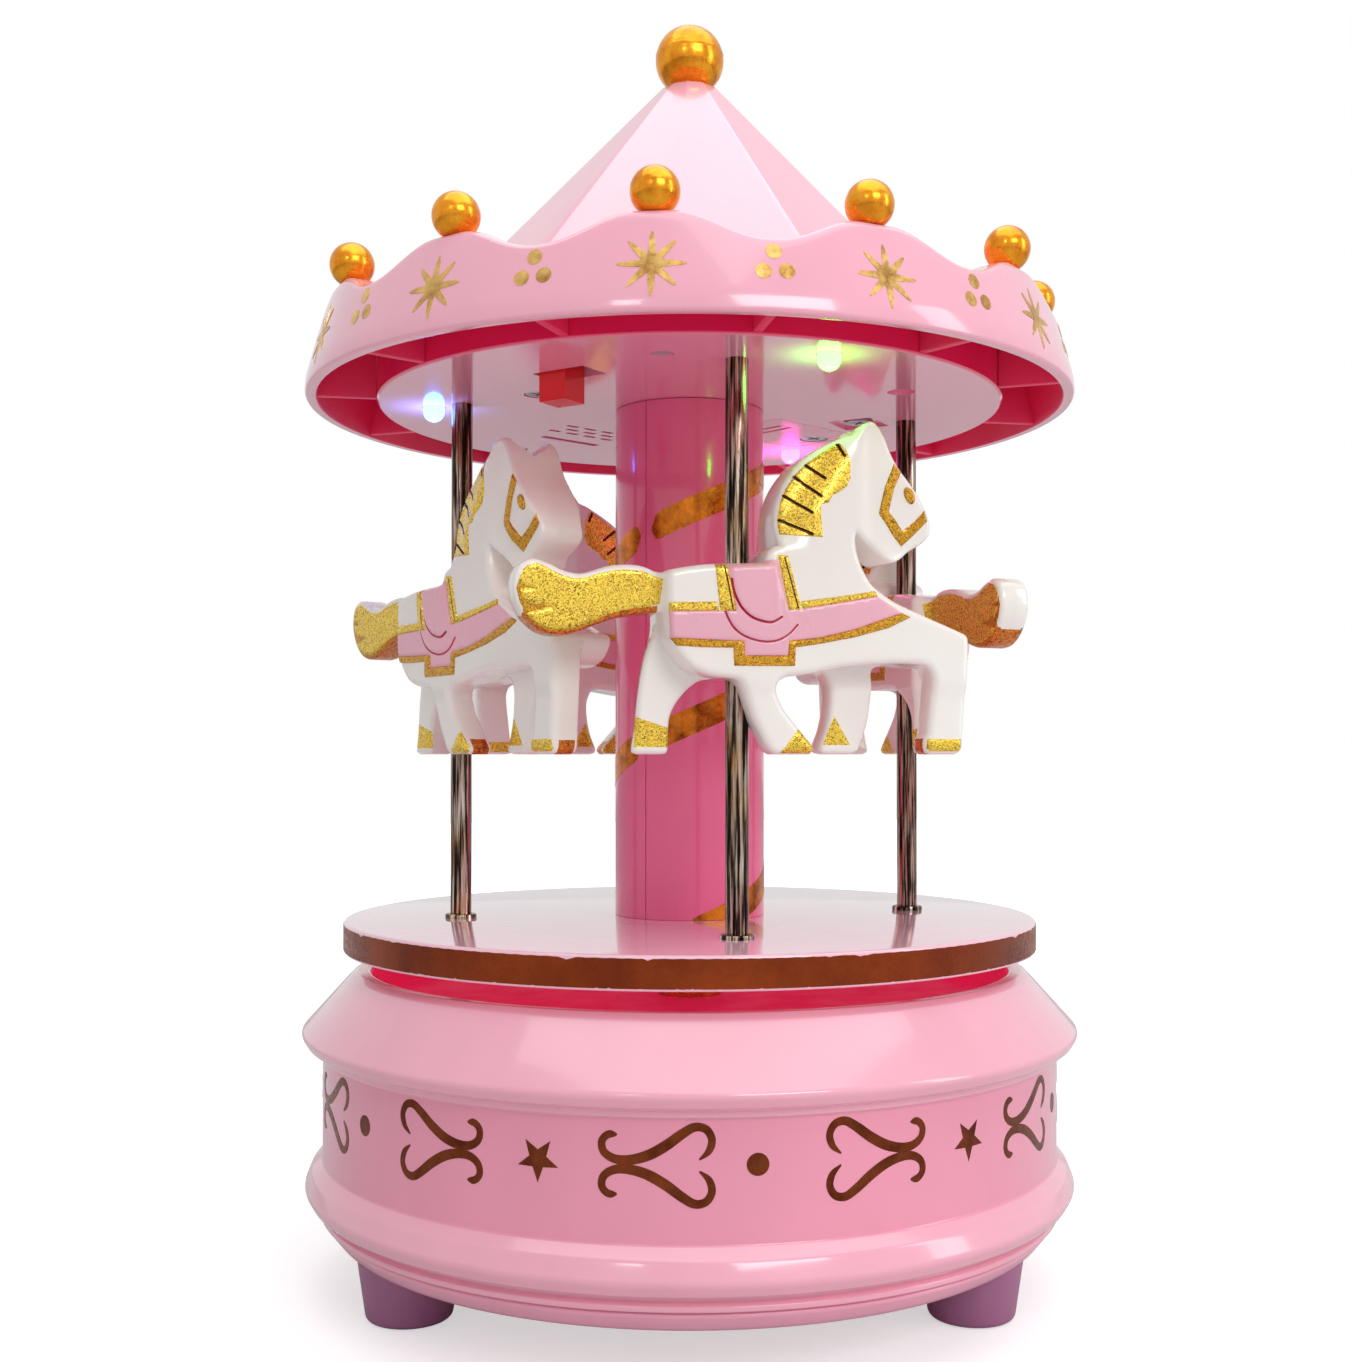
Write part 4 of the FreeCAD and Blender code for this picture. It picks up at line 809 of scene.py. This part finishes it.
FAR_LEGS = [
    [(29.3, 15.4), (29.5, 14.6), (28.9, 13.2), (27.6, 12.0), (25.4, 11.3), (22.4, 11.4), (19.4, 11.4),
     (18.4, 10.6), (18.45, 8.6), (18.2, 6.4), (17.8, 4.0), (16.9, 1.4)],
    [(16.9, 1.4), (16.4, 0.4), (15.5, 0.0)],
    [(15.5, 0.0), (12.2, 0.0)],
    [(12.2, 0.0), (11.3, 0.3), (11.3, 1.2), (12.0, 3.0), (12.5, 5.2), (12.7, 7.2), (12.6, 8.8),
     (11.9, 10.1), (10.4, 10.4), (6.6, 9.8), (2.0, 9.45), (-1.6, 9.5), (-4.1, 9.3), (-5.6, 8.6),
     (-7.3, 6.9), (-8.4, 5.0), (-8.7, 3.0), (-8.75, 0.7)],
    [(-8.75, 0.7), (-9.0, 0.15), (-9.6, 0.0)],
    [(-9.6, 0.0), (-12.7, 0.0)],
    [(-12.7, 0.0), (-13.35, 0.3), (-13.35, 1.2), (-13.0, 3.2), (-12.8, 5.6), (-12.5, 8.1), (-12.0, 11.0),
     (-11.3, 13.4), (-10.55, 15.4), (-10.55, 17.35)]]
MANE = [(4.3, 27.2), (4.15, 29.0), (4.55, 31.2), (5.3, 33.0), (6.5, 34.8), (8.0, 36.3), (9.8, 37.6),
        (11.2, 38.5), (12.2, 39.0), (12.9, 38.0), (13.4, 36.7), (13.4, 34.6), (12.9, 33.4), (11.9, 32.7),
        (10.95, 32.2), (10.5, 31.3), (9.5, 31.1), (9.5, 29.3), (9.7, 26.95)]
MANE_CUTS = [
    [(4.4, 29.0), (8.3, 27.3)],
    [(5.0, 32.1), (8.3, 30.0)],
    [(6.4, 34.5), (9.5, 32.1)],
    [(7.9, 36.0), (10.1, 34.4)],
    [(11.9, 38.7), (12.6, 37.3)]]
BRIDLE = [(19.5, 36.75), (20.45, 35.55), (19.5, 33.5), (18.8, 30.6), (20.85, 28.3), (22.6, 29.6),
          (24.0, 31.1), (24.45, 29.7), (22.6, 27.9), (20.85, 26.35), (19.3, 27.8), (17.4, 30.3),
          (18.2, 33.6)]
EYE = (21.6, 32.75, 0.74, 1.08)
STRAPS = [
    [(-4.3, 23.15), (-2.8, 23.25), (-1.6, 17.5), (-3.7, 17.5)],
    [(3.7, 24.6), (5.1, 24.5), (6.9, 17.9), (5.2, 17.8)]]
STRIPES = [
    [(-10.05, 18.4), (-4.15, 18.6), (-3.75, 17.5), (-10.05, 17.3)],
    [(6.7, 18.9), (12.4, 19.75), (16.7, 20.5), (17.0, 19.8), (12.7, 19.0), (6.95, 18.0)],
    [(-9.9, 14.1), (-6.1, 14.0), (-0.6, 13.9), (-0.5, 12.1), (5.1, 12.2), (5.2, 14.0), (9.3, 14.5),
     (13.9, 15.6), (17.6, 16.9), (20.3, 17.8), (21.5, 17.3), (18.6, 15.9), (13.9, 14.6), (9.3, 13.7),
     (6.1, 13.2), (6.0, 10.9), (-1.9, 10.8), (-2.0, 13.0), (-6.1, 13.0), (-9.2, 13.15)]]
BLANKET = [(-10.05, 17.3), (-3.75, 17.5), (-1.6, 17.5), (-2.8, 23.25), (-2.4, 23.35), (3.4, 24.0),
           (3.7, 24.1), (5.2, 17.8), (6.95, 18.0), (12.7, 19.0), (17.0, 19.8), (20.3, 17.8), (17.6, 16.9),
           (13.9, 15.6), (9.3, 14.5), (5.2, 14.0), (5.1, 12.2), (-0.5, 12.1), (-0.6, 13.9), (-6.1, 14.0),
           (-9.9, 14.1)]
FLAP_OUT = [(-3.2, 17.9), (-2.7, 16.6), (-1.8, 15.3), (-0.3, 14.35), (1.8, 13.85), (3.6, 14.0),
            (5.1, 14.75), (6.3, 16.0)]
FLAP_IN = [(-2.3, 21.4), (-2.1, 20.2), (-1.6, 18.9), (-0.9, 17.8), (0.3, 16.8), (1.8, 16.3), (3.0, 16.25),
           (4.2, 16.9)]
TAIL_GOLD = [(-27.9, 21.2), (-27.5, 22.1), (-26.9, 22.6), (-25.9, 22.9), (-25.0, 22.6), (-23.8, 22.0),
             (-22.7, 21.5), (-21.3, 21.2), (-19.9, 21.3), (-18.5, 21.8), (-17.1, 22.15), (-15.6, 22.4),
             (-14.2, 22.4), (-12.8, 22.3), (-11.4, 21.8), (-10.5, 21.3), (-10.8, 18.3), (-12.7, 17.85),
             (-14.2, 17.7), (-15.6, 17.4), (-17.0, 16.95), (-18.5, 16.4), (-19.9, 15.8), (-21.3, 15.3),
             (-22.7, 15.1), (-24.1, 15.1), (-25.1, 15.4), (-26.2, 16.0), (-27.1, 16.8), (-23.8, 17.7),
             (-26.9, 18.1), (-27.6, 18.9), (-27.9, 19.6), (-26.3, 19.9), (-27.9, 20.3)]
TAIL_SHADE = [(-28.0, 20.9), (-26.6, 21.2), (-20.0, 20.2), (-17.0, 17.2), (-18.5, 16.0), (-21.3, 14.95),
              (-23.8, 14.75), (-25.4, 15.15), (-26.9, 16.4), (-27.9, 18.2), (-28.3, 19.8)]
STRAP_LINES = [
    [(-3.15, 22.9), (-2.15, 17.7)],
    [(4.6, 24.2), (6.35, 18.1)]]
HOOVES = {"near": [[(6.6, 3.15), (8.5, 1.1), (8.6, 0.5), (8.2, 0.15), (4.2, 0.15)],
                   [(24.0, 1.95), (28.6, 1.95), (28.7, 0.8), (28.4, 0.4), (24.3, 0.4), (23.9, 0.8)]],
          "far": [[(-12.9, 4.6), (-8.85, 3.3), (-8.85, 0.9), (-13.2, 0.9)],
                  [(13.1, 4.9), (15.3, 1.2), (11.6, 1.2)]]}


def band_outline(path, width):
    """Closed outline of a narrow line with round ends."""
    path = [np.array(p, float) for p in path]
    left, right = [], []
    for i, p in enumerate(path):
        ahead = path[min(i + 1, len(path) - 1)] - path[max(i - 1, 0)]
        ahead /= np.linalg.norm(ahead)
        side = np.array([-ahead[1], ahead[0]]) * width / 2
        cap = ahead * width / 2
        if i == 0:
            left += [p - cap * 0.9 + side * 0.5]
            right += [p - cap * 0.9 - side * 0.5]
        left.append(p + side)
        right.append(p - side)
        if i == len(path) - 1:
            left += [p + cap * 0.9 + side * 0.5]
            right += [p + cap * 0.9 - side * 0.5]
    return [tuple(p) for p in left + right[::-1]]


def dense(outline, step):
    """Closed outline with points no further apart than the step."""
    pts = np.array(outline, float)
    out = []
    for i in range(len(pts)):
        a, b = pts[i], pts[(i + 1) % len(pts)]
        n = max(1, int(math.ceil(np.linalg.norm(b - a) / step)))
        out += [a + (b - a) * k / n for k in range(n)]
    return np.array(out)


def inside(points, outline):
    x, y = points[:, 0], points[:, 1]
    hit = np.zeros(len(points), bool)
    pts = np.array(outline, float)
    for (x0, y0), (x1, y1) in zip(pts, np.roll(pts, -1, axis=0)):
        cross = (y0 > y) != (y1 > y)
        with np.errstate(divide="ignore", invalid="ignore"):
            hit ^= cross & (x < (x1 - x0) * (y - y0) / (y1 - y0) + x0)
    return hit


def distance(points, outline, closed=True):
    """Shortest distance from each point to an outline."""
    pts = np.array(outline, float)
    ends = np.roll(pts, -1, axis=0) if closed else pts[1:]
    starts = pts if closed else pts[:-1]
    best = np.full(len(points), 1e9)
    for a, b in zip(starts, ends):
        d = b - a
        t = np.clip(((points - a) @ d) / max(1e-12, d @ d), 0, 1)
        best = np.minimum(best, np.hypot(*(points - a - t[:, None] * d).T))
    return best


def smooth(x, a, b):
    t = np.clip((x - a) / (b - a), 0, 1)
    return t * t * (3 - 2 * t)


def silhouette(which):
    chunks = BACK + (NEAR_LEGS if which == "near" else FAR_LEGS)
    chunks += [REAR] if which == "near" else []
    chunks += [TAIL]
    outline = []
    for chunk in chunks:
        curve = catmull(chunk, 5) if len(chunk) > 2 else [np.array(p, float) for p in chunk]
        outline += curve[:-1]
    return dense(outline, 0.4)


def horse_art(which):
    """Painted shapes in drawing order: (outline, material index, raised height)."""
    eye = [(EYE[0] + EYE[2] * math.cos(a) - 0.3 * math.sin(a), EYE[1] + EYE[3] * math.sin(a))
           for a in np.linspace(0, 2 * math.pi, 20, endpoint=False)]
    art = [(BLANKET, 1, 0.10)]
    art += [(band_outline(catmull(FLAP_OUT, 4), 0.28), 2, -0.1),
            (band_outline(catmull(FLAP_IN, 4), 0.32), 2, -0.15)]
    art += [(outline, 3, 0.22) for outline in STRIPES[:2] + STRAPS]
    art += [(band_outline(line, 0.2), 4, -0.15) for line in STRAP_LINES]
    art += [(STRIPES[2], 6, 0.22), (MANE, 3, 0.15), (BRIDLE, 6, 0.2), (eye, 6, 0.25), (TAIL_SHADE, 6, 0.0),
            (TAIL_GOLD, 3, 0.12)]
    art += [(band_outline(cut, 0.42), 4, -0.28) for cut in MANE_CUTS]
    art += [(outline, 3, 0.12) for outline in HOOVES[which]]
    return art


def horse_thickness(p, edge):
    """Half thickness at points of the plane: full body, slimmer crest, muzzle, tail and legs."""
    x, y = p[:, 0], p[:, 1]
    full = np.full(len(p), 4.75)
    crest = smooth(y, 25.0, 29.0) * (1 - smooth(x - 0.62 * np.clip(y - 30, 0, 9), 4.0, 9.5))
    full -= 1.35 * crest
    head = smooth(y, 24.0, 26.5) * smooth(x, 14.0, 17.0)
    full -= 0.55 * head
    full -= 0.9 * smooth(x + (36 - y) * 0.9, 24.5, 30.5) * smooth(y, 23.5, 25.5)
    full -= 2.5 * smooth(-x, 9.6, 11.4)
    full -= 0.35 * smooth(-y, -9.5, -7.0)
    radius = np.where(-x > 10.5, 0.7, 0.95) - 0.45 * smooth(y, 25.0, 29.0) * smooth(x, 13.5, 17.0)
    d = np.clip(edge, 0, radius)
    return full - radius + np.sqrt(np.maximum(0, radius ** 2 - (radius - d) ** 2))


def offsets(loop, reach):
    """The loop moved to either side of itself."""
    along = np.roll(loop, -1, axis=0) - np.roll(loop, 1, axis=0)
    along /= np.linalg.norm(along, axis=1)[:, None] + 1e-9
    side = reach * np.stack([-along[:, 1], along[:, 0]], 1)
    return loop - side, loop + side


def horse_half(which):
    """Mesh of one moulded half; the flat mating side lies at zero thickness."""
    outline = silhouette(which)
    other = silhouette("far" if which == "near" else "near")
    art = horse_art(which)
    loops = [outline] + [dense(shape, 0.5) for shape, _, _ in art]
    points, edges = [], []
    for loop in loops:
        start = len(points)
        points += [tuple(p) for p in loop]
        edges += [(start + i, start + (i + 1) % len(loop)) for i in range(len(loop))]
    low, high = outline.min(0), outline.max(0)
    step = 0.42
    xs = np.arange(low[0], high[0], step)
    ys = np.arange(low[1], high[1], step * 0.866)
    grid = np.array([(x + (j % 2) * step / 2, y) for j, y in enumerate(ys) for x in xs])
    grid = grid[inside(grid, outline)]
    away = distance(grid, outline)
    for loop in loops[1:]:
        away = np.minimum(away, distance(grid, loop))
    grid = grid[away > 0.28]
    rings = []
    for reach in (0.1, 0.28, 0.55, 0.85):
        for ring in offsets(outline, reach):
            ring = ring[inside(ring, outline)]
            rings.append(ring[distance(ring, outline) > reach * 0.93])
    for loop in loops[1:]:
        for ring in offsets(loop, 0.13):
            ring = ring[inside(ring, outline)]
            keep = (distance(ring, loop) > 0.12) & (distance(ring, outline) > 0.12)
            rings.append(ring[keep])
    points += [tuple(p) for p in np.concatenate([grid] + rings)]
    verts, _, faces, _, _, _ = delaunay_2d_cdt([Vector(p) for p in points], edges,
                                               [list(range(len(outline)))], 1, 1e-5)
    flat = np.array([tuple(v) for v in verts])
    faces = [list(f) for f in faces]
    middle = np.array([flat[f].mean(0) for f in faces])
    keep = inside(middle, outline)
    faces = [f for f, k in zip(faces, keep) if k]
    middle = middle[keep]
    edge = distance(flat, outline)
    height = horse_thickness(flat, edge)
    for shape, _, rise in art:
        within = inside(flat, shape)
        near = distance(flat, shape)
        height += np.where(within, rise * smooth(near, -0.02, 0.14), 0) * smooth(edge, 0.0, 0.5)
    flap_in = FLAP_IN + [(3.6, 23.6), (-2.5, 23.2)]
    flap_out = FLAP_OUT + [(5.2, 17.8), (3.7, 23.5), (-2.8, 23.0), (-3.4, 18.0)]
    for shape, rise in ((flap_in, 0.22), (flap_out, 0.18)):
        raised = rise * smooth(distance(flat, shape), 0.0, 0.3) * smooth(edge, 0.0, 0.6)
        height += np.where(inside(flat, shape), raised, 0)
    indices = np.zeros(len(faces), int)
    for shape, index, _ in art:
        indices[inside(middle, shape)] = index
    # Painted shade: the rounded lower edge of the tail takes the darker orange gold.
    tail_underside_shade = (middle[:, 0] < -11) & (indices == 0) & (middle[:, 1] < 19.0)
    tail_underside_shade &= distance(middle, TAIL_GOLD) < 0.9
    indices[tail_underside_shade & (distance(middle, outline) < 0.75) & (middle[:, 0] > -27.5)] = 5
    gap = np.where(inside(flat, other), -1, 1) * distance(flat, other)
    leg = (flat[:, 1] < 16) & (gap > -0.01)
    clear = smooth(gap, 0.0, 0.5)
    back_round = 0.7 - np.sqrt(np.maximum(0, 0.49 - (0.7 - np.clip(edge, 0, 0.7)) ** 2))
    back = np.where(leg, clear * (0.25 + back_round), 0.0)
    back += 3.0 * smooth(flat[:, 1], 39.3, 41.7) * (flat[:, 0] > 12)
    n = len(flat)
    front = [(x, y, h) for (x, y), h in zip(flat, height)]
    rear = [(x, y, b) for (x, y), b in zip(flat, back)]
    all_faces = faces + [[i + n for i in f][::-1] for f in faces]
    back_indices = np.zeros(len(faces), int)
    for shape in HOOVES[which]:
        back_indices[inside(middle, shape)] = 3
    count = {}
    for f in faces:
        for i in range(len(f)):
            a, b = f[i], f[(i + 1) % len(f)]
            count[(a, b)] = count.get((a, b), 0) + 1
    sides, side_index = [], []
    for (a, b) in count:
        if (b, a) not in count:
            sides.append([b, a, a + n, b + n])
            x, y = (flat[a] + flat[b]) / 2
            # Painted shade: side walls low at the back below the tail, and beside the near hooves, take the
            # darker orange gold.
            under = -27.5 < x < -10.9 and y < 19.0
            spot_at = np.array([[x, y]])
            shaded_hoof_side = which == "near" and y < 2.0 and any(distance(spot_at, h)[0] < 0.5 for h in HOOVES[which])
            side_index.append(5 if under or shaded_hoof_side else 0)
    all_faces += sides
    return front + rear, all_faces, np.concatenate([indices, back_indices, np.array(side_index, int)])


def build_horses():
    paint = [ivory, saddle_pink, line_rose, gold, gold_line, shaded_gold_edge, gold_dull]
    for which, side, label in (("near", -1, "outer"), ("far", 1, "inner")):
        points, faces, indices = horse_half(which)
        for k in range(4):
            yaw = math.radians(90 * k + HORSE_YAWS[k])
            pole = at(90 * k, POLE_CIRCLE)
            c, s = math.cos(yaw), math.sin(yaw)
            placed = [(pole.x + x * c - side * h * s, pole.y + x * s + side * h * c, y + HOOF_Z)
                      for x, y, h in points]
            name = "horse_%d_%s" % (k + 1, label)
            piece(name + "_skin", placed, faces, paint, "carousel", indices=indices, sharp=50,
                  slot="ivory_horse", replaces=[name + "_half"])


# --- carried-over nodes ---
NODE_MATERIALS = (
    (steel, "battery_contacts button_cells comb cylinder_arbor governor_arbor governor_worm mainspring"
            " spindle spring_cover spring_housing"),
    (zinc, "base_screws battery_door_screw comb_screws movement_screws underplate_screws"),
    (brass, "crown_wheel cylinder_pinion cylinder_wheel governor_bracket governor_pinion music_cylinder"
            " spindle_bushing"),
    (white_plastic, "governor_fan worm_wheel"), (pink_door, "battery_door"),
    (pink_underplate, "canopy_underplate"), (green_board, "led_board"), (switch_black, "light_switch"),
    (switch_red, "light_switch_slider"), (cast, "movement_frame"))


def finish_nodes():
    for name, material in [(name, m) for m, names in NODE_MATERIALS for name in names.split()]:
        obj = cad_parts[name]
        if not obj.material_slots:
            obj.data.materials.append(material)
        for slot in obj.material_slots:
            slot.material = material


# --- stage ---
def area_light(name, place, target, size, power, colour=(1, 1, 1)):
    data = bpy.data.lights.new(name, "AREA")
    data.shape = "RECTANGLE"
    data.size, data.size_y = size
    data.energy = power
    data.color = colour
    light = bpy.data.objects.new(name, data)
    light.location = place
    light.rotation_euler = (Vector(target) - Vector(place)).to_track_quat("-Z", "Y").to_euler()
    bpy.context.scene.collection.objects.link(light)


def build_stage():
    points, faces = [], []
    steps = 40
    for i in range(steps + 1):
        for j in range(steps + 1):
            points.append((-1500 + 3000 * i / steps, -1500 + 3000 * j / steps, -0.05))
    for i in range(steps):
        for j in range(steps):
            a = i * (steps + 1) + j
            faces.append([a, a + steps + 1, a + steps + 2, a + 1])
    mesh = bpy.data.meshes.new("floor")
    mesh.from_pydata([tuple(c * MM for c in p) for p in points], [], faces)
    floor_paint = Material("pale_floor", Roughness=0.6)
    tone = floor_paint.noise(60.0, 2.0)
    floor_paint.colour(floor_paint.ramp(tone, [(0.3, (0.83, 0.83, 0.835)), (0.7, (0.845, 0.845, 0.845))]))
    away = floor_paint.node("VectorMath")
    away.operation = "LENGTH"
    floor_paint.link(floor_paint.mapped((1.0, 1.0, 1.0)), away.inputs[0])
    # Painted light: seen by the camera only, the floor glows, less near the middle and fully further out, so
    # that it fades into the white backdrop.
    glow = floor_paint.ramp(away.outputs["Value"], [(0.06, 0.55), (0.25, 0.9), (0.6, 1.0)])
    floor_paint.link(glow, floor_paint.shader.inputs["Emission Color"])
    seen = floor_paint.tree.nodes.new("ShaderNodeLightPath")
    floor_paint.link(seen.outputs["Is Camera Ray"], floor_paint.shader.inputs["Emission Strength"])
    mesh.materials.append(floor_paint.material)
    floor = bpy.data.objects.new("floor", mesh)
    bpy.context.scene.collection.objects.link(floor)

    world = bpy.data.worlds.new("studio")
    bpy.context.scene.world = world
    world.use_nodes = True
    background = world.node_tree.nodes["Background"]
    background.inputs["Color"].default_value = (1.0, 1.0, 1.0, 1.0)
    background.inputs["Strength"].default_value = 0.42
    backdrop = world.node_tree.nodes.new("ShaderNodeBackground")
    backdrop.inputs["Color"].default_value = (1.0, 1.0, 1.0, 1.0)
    backdrop.inputs["Strength"].default_value = 1.0
    path = world.node_tree.nodes.new("ShaderNodeLightPath")
    mix = world.node_tree.nodes.new("ShaderNodeMixShader")
    sheen = world.node_tree.nodes.new("ShaderNodeMath")
    sheen.operation = "MULTIPLY_ADD"
    sheen.inputs[1].default_value = 0.7
    world.node_tree.links.new(path.outputs["Is Glossy Ray"], sheen.inputs[0])
    world.node_tree.links.new(path.outputs["Is Camera Ray"], sheen.inputs[2])
    world.node_tree.links.new(sheen.outputs[0], mix.inputs["Fac"])
    world.node_tree.links.new(background.outputs[0], mix.inputs[1])
    world.node_tree.links.new(backdrop.outputs[0], mix.inputs[2])
    world.node_tree.links.new(mix.outputs[0], world.node_tree.nodes["World Output"].inputs["Surface"])
    area_light("key", (0.20, -0.70, 0.46), (0, 0, 0.09), (0.36, 0.22), 1.5)
    area_light("accent", (-0.34, -0.66, 0.42), (0, 0, 0.09), (0.10, 0.10), 0.20)
    area_light("side", (0.62, -0.30, 0.30), (0, 0, 0.09), (0.16, 0.45), 0.7)
    area_light("top", (0.05, -0.05, 0.80), (0, 0, 0.1), (0.9, 0.9), 3.7)
    colours = {"led_blue": (0.12, 0.35, 1.0), "led_green": (0.12, 1.0, 0.12), "led_pink": (1.0, 0.10, 0.80)}
    for name, colour in colours.items():
        data = bpy.data.lights.new(name + "_glow", "SPOT")
        data.energy = 0.012
        data.color = colour
        data.spot_size = math.radians(130)
        data.spot_blend = 1.0
        data.shadow_soft_size = 0.001
        light = bpy.data.objects.new(name + "_glow", data)
        azimuth, radius = LEDS[name]
        light.location = at(azimuth, radius, 117.0) * MM
        light.rotation_euler = (math.pi, 0.0, 0.0)
        bpy.context.scene.collection.objects.link(light)


def build_camera():
    data = bpy.data.cameras.new("camera")
    data.lens = 42.54
    data.shift_x, data.shift_y = -0.0100, 0.0331
    data.clip_start = 0.01
    camera = bpy.data.objects.new("camera", data)
    camera.location = (-0.0421, -0.2296, 0.0736)
    aim = Vector((0.0421, 0.2296, 0.0))
    aim.z = aim.length * math.tan(math.radians(0.982))
    camera.rotation_euler = aim.to_track_quat("-Z", "Y").to_euler()
    bpy.context.scene.collection.objects.link(camera)
    bpy.context.scene.camera = camera
    bpy.context.scene.view_settings.view_transform = "Standard"


build_camera()
build_stage()
build_base()
build_base_foil()
build_platform()
build_column()
build_poles()
build_rim()
build_rim_foil()
build_balls()
build_roof()
build_leds()
build_horses()
finish_nodes()
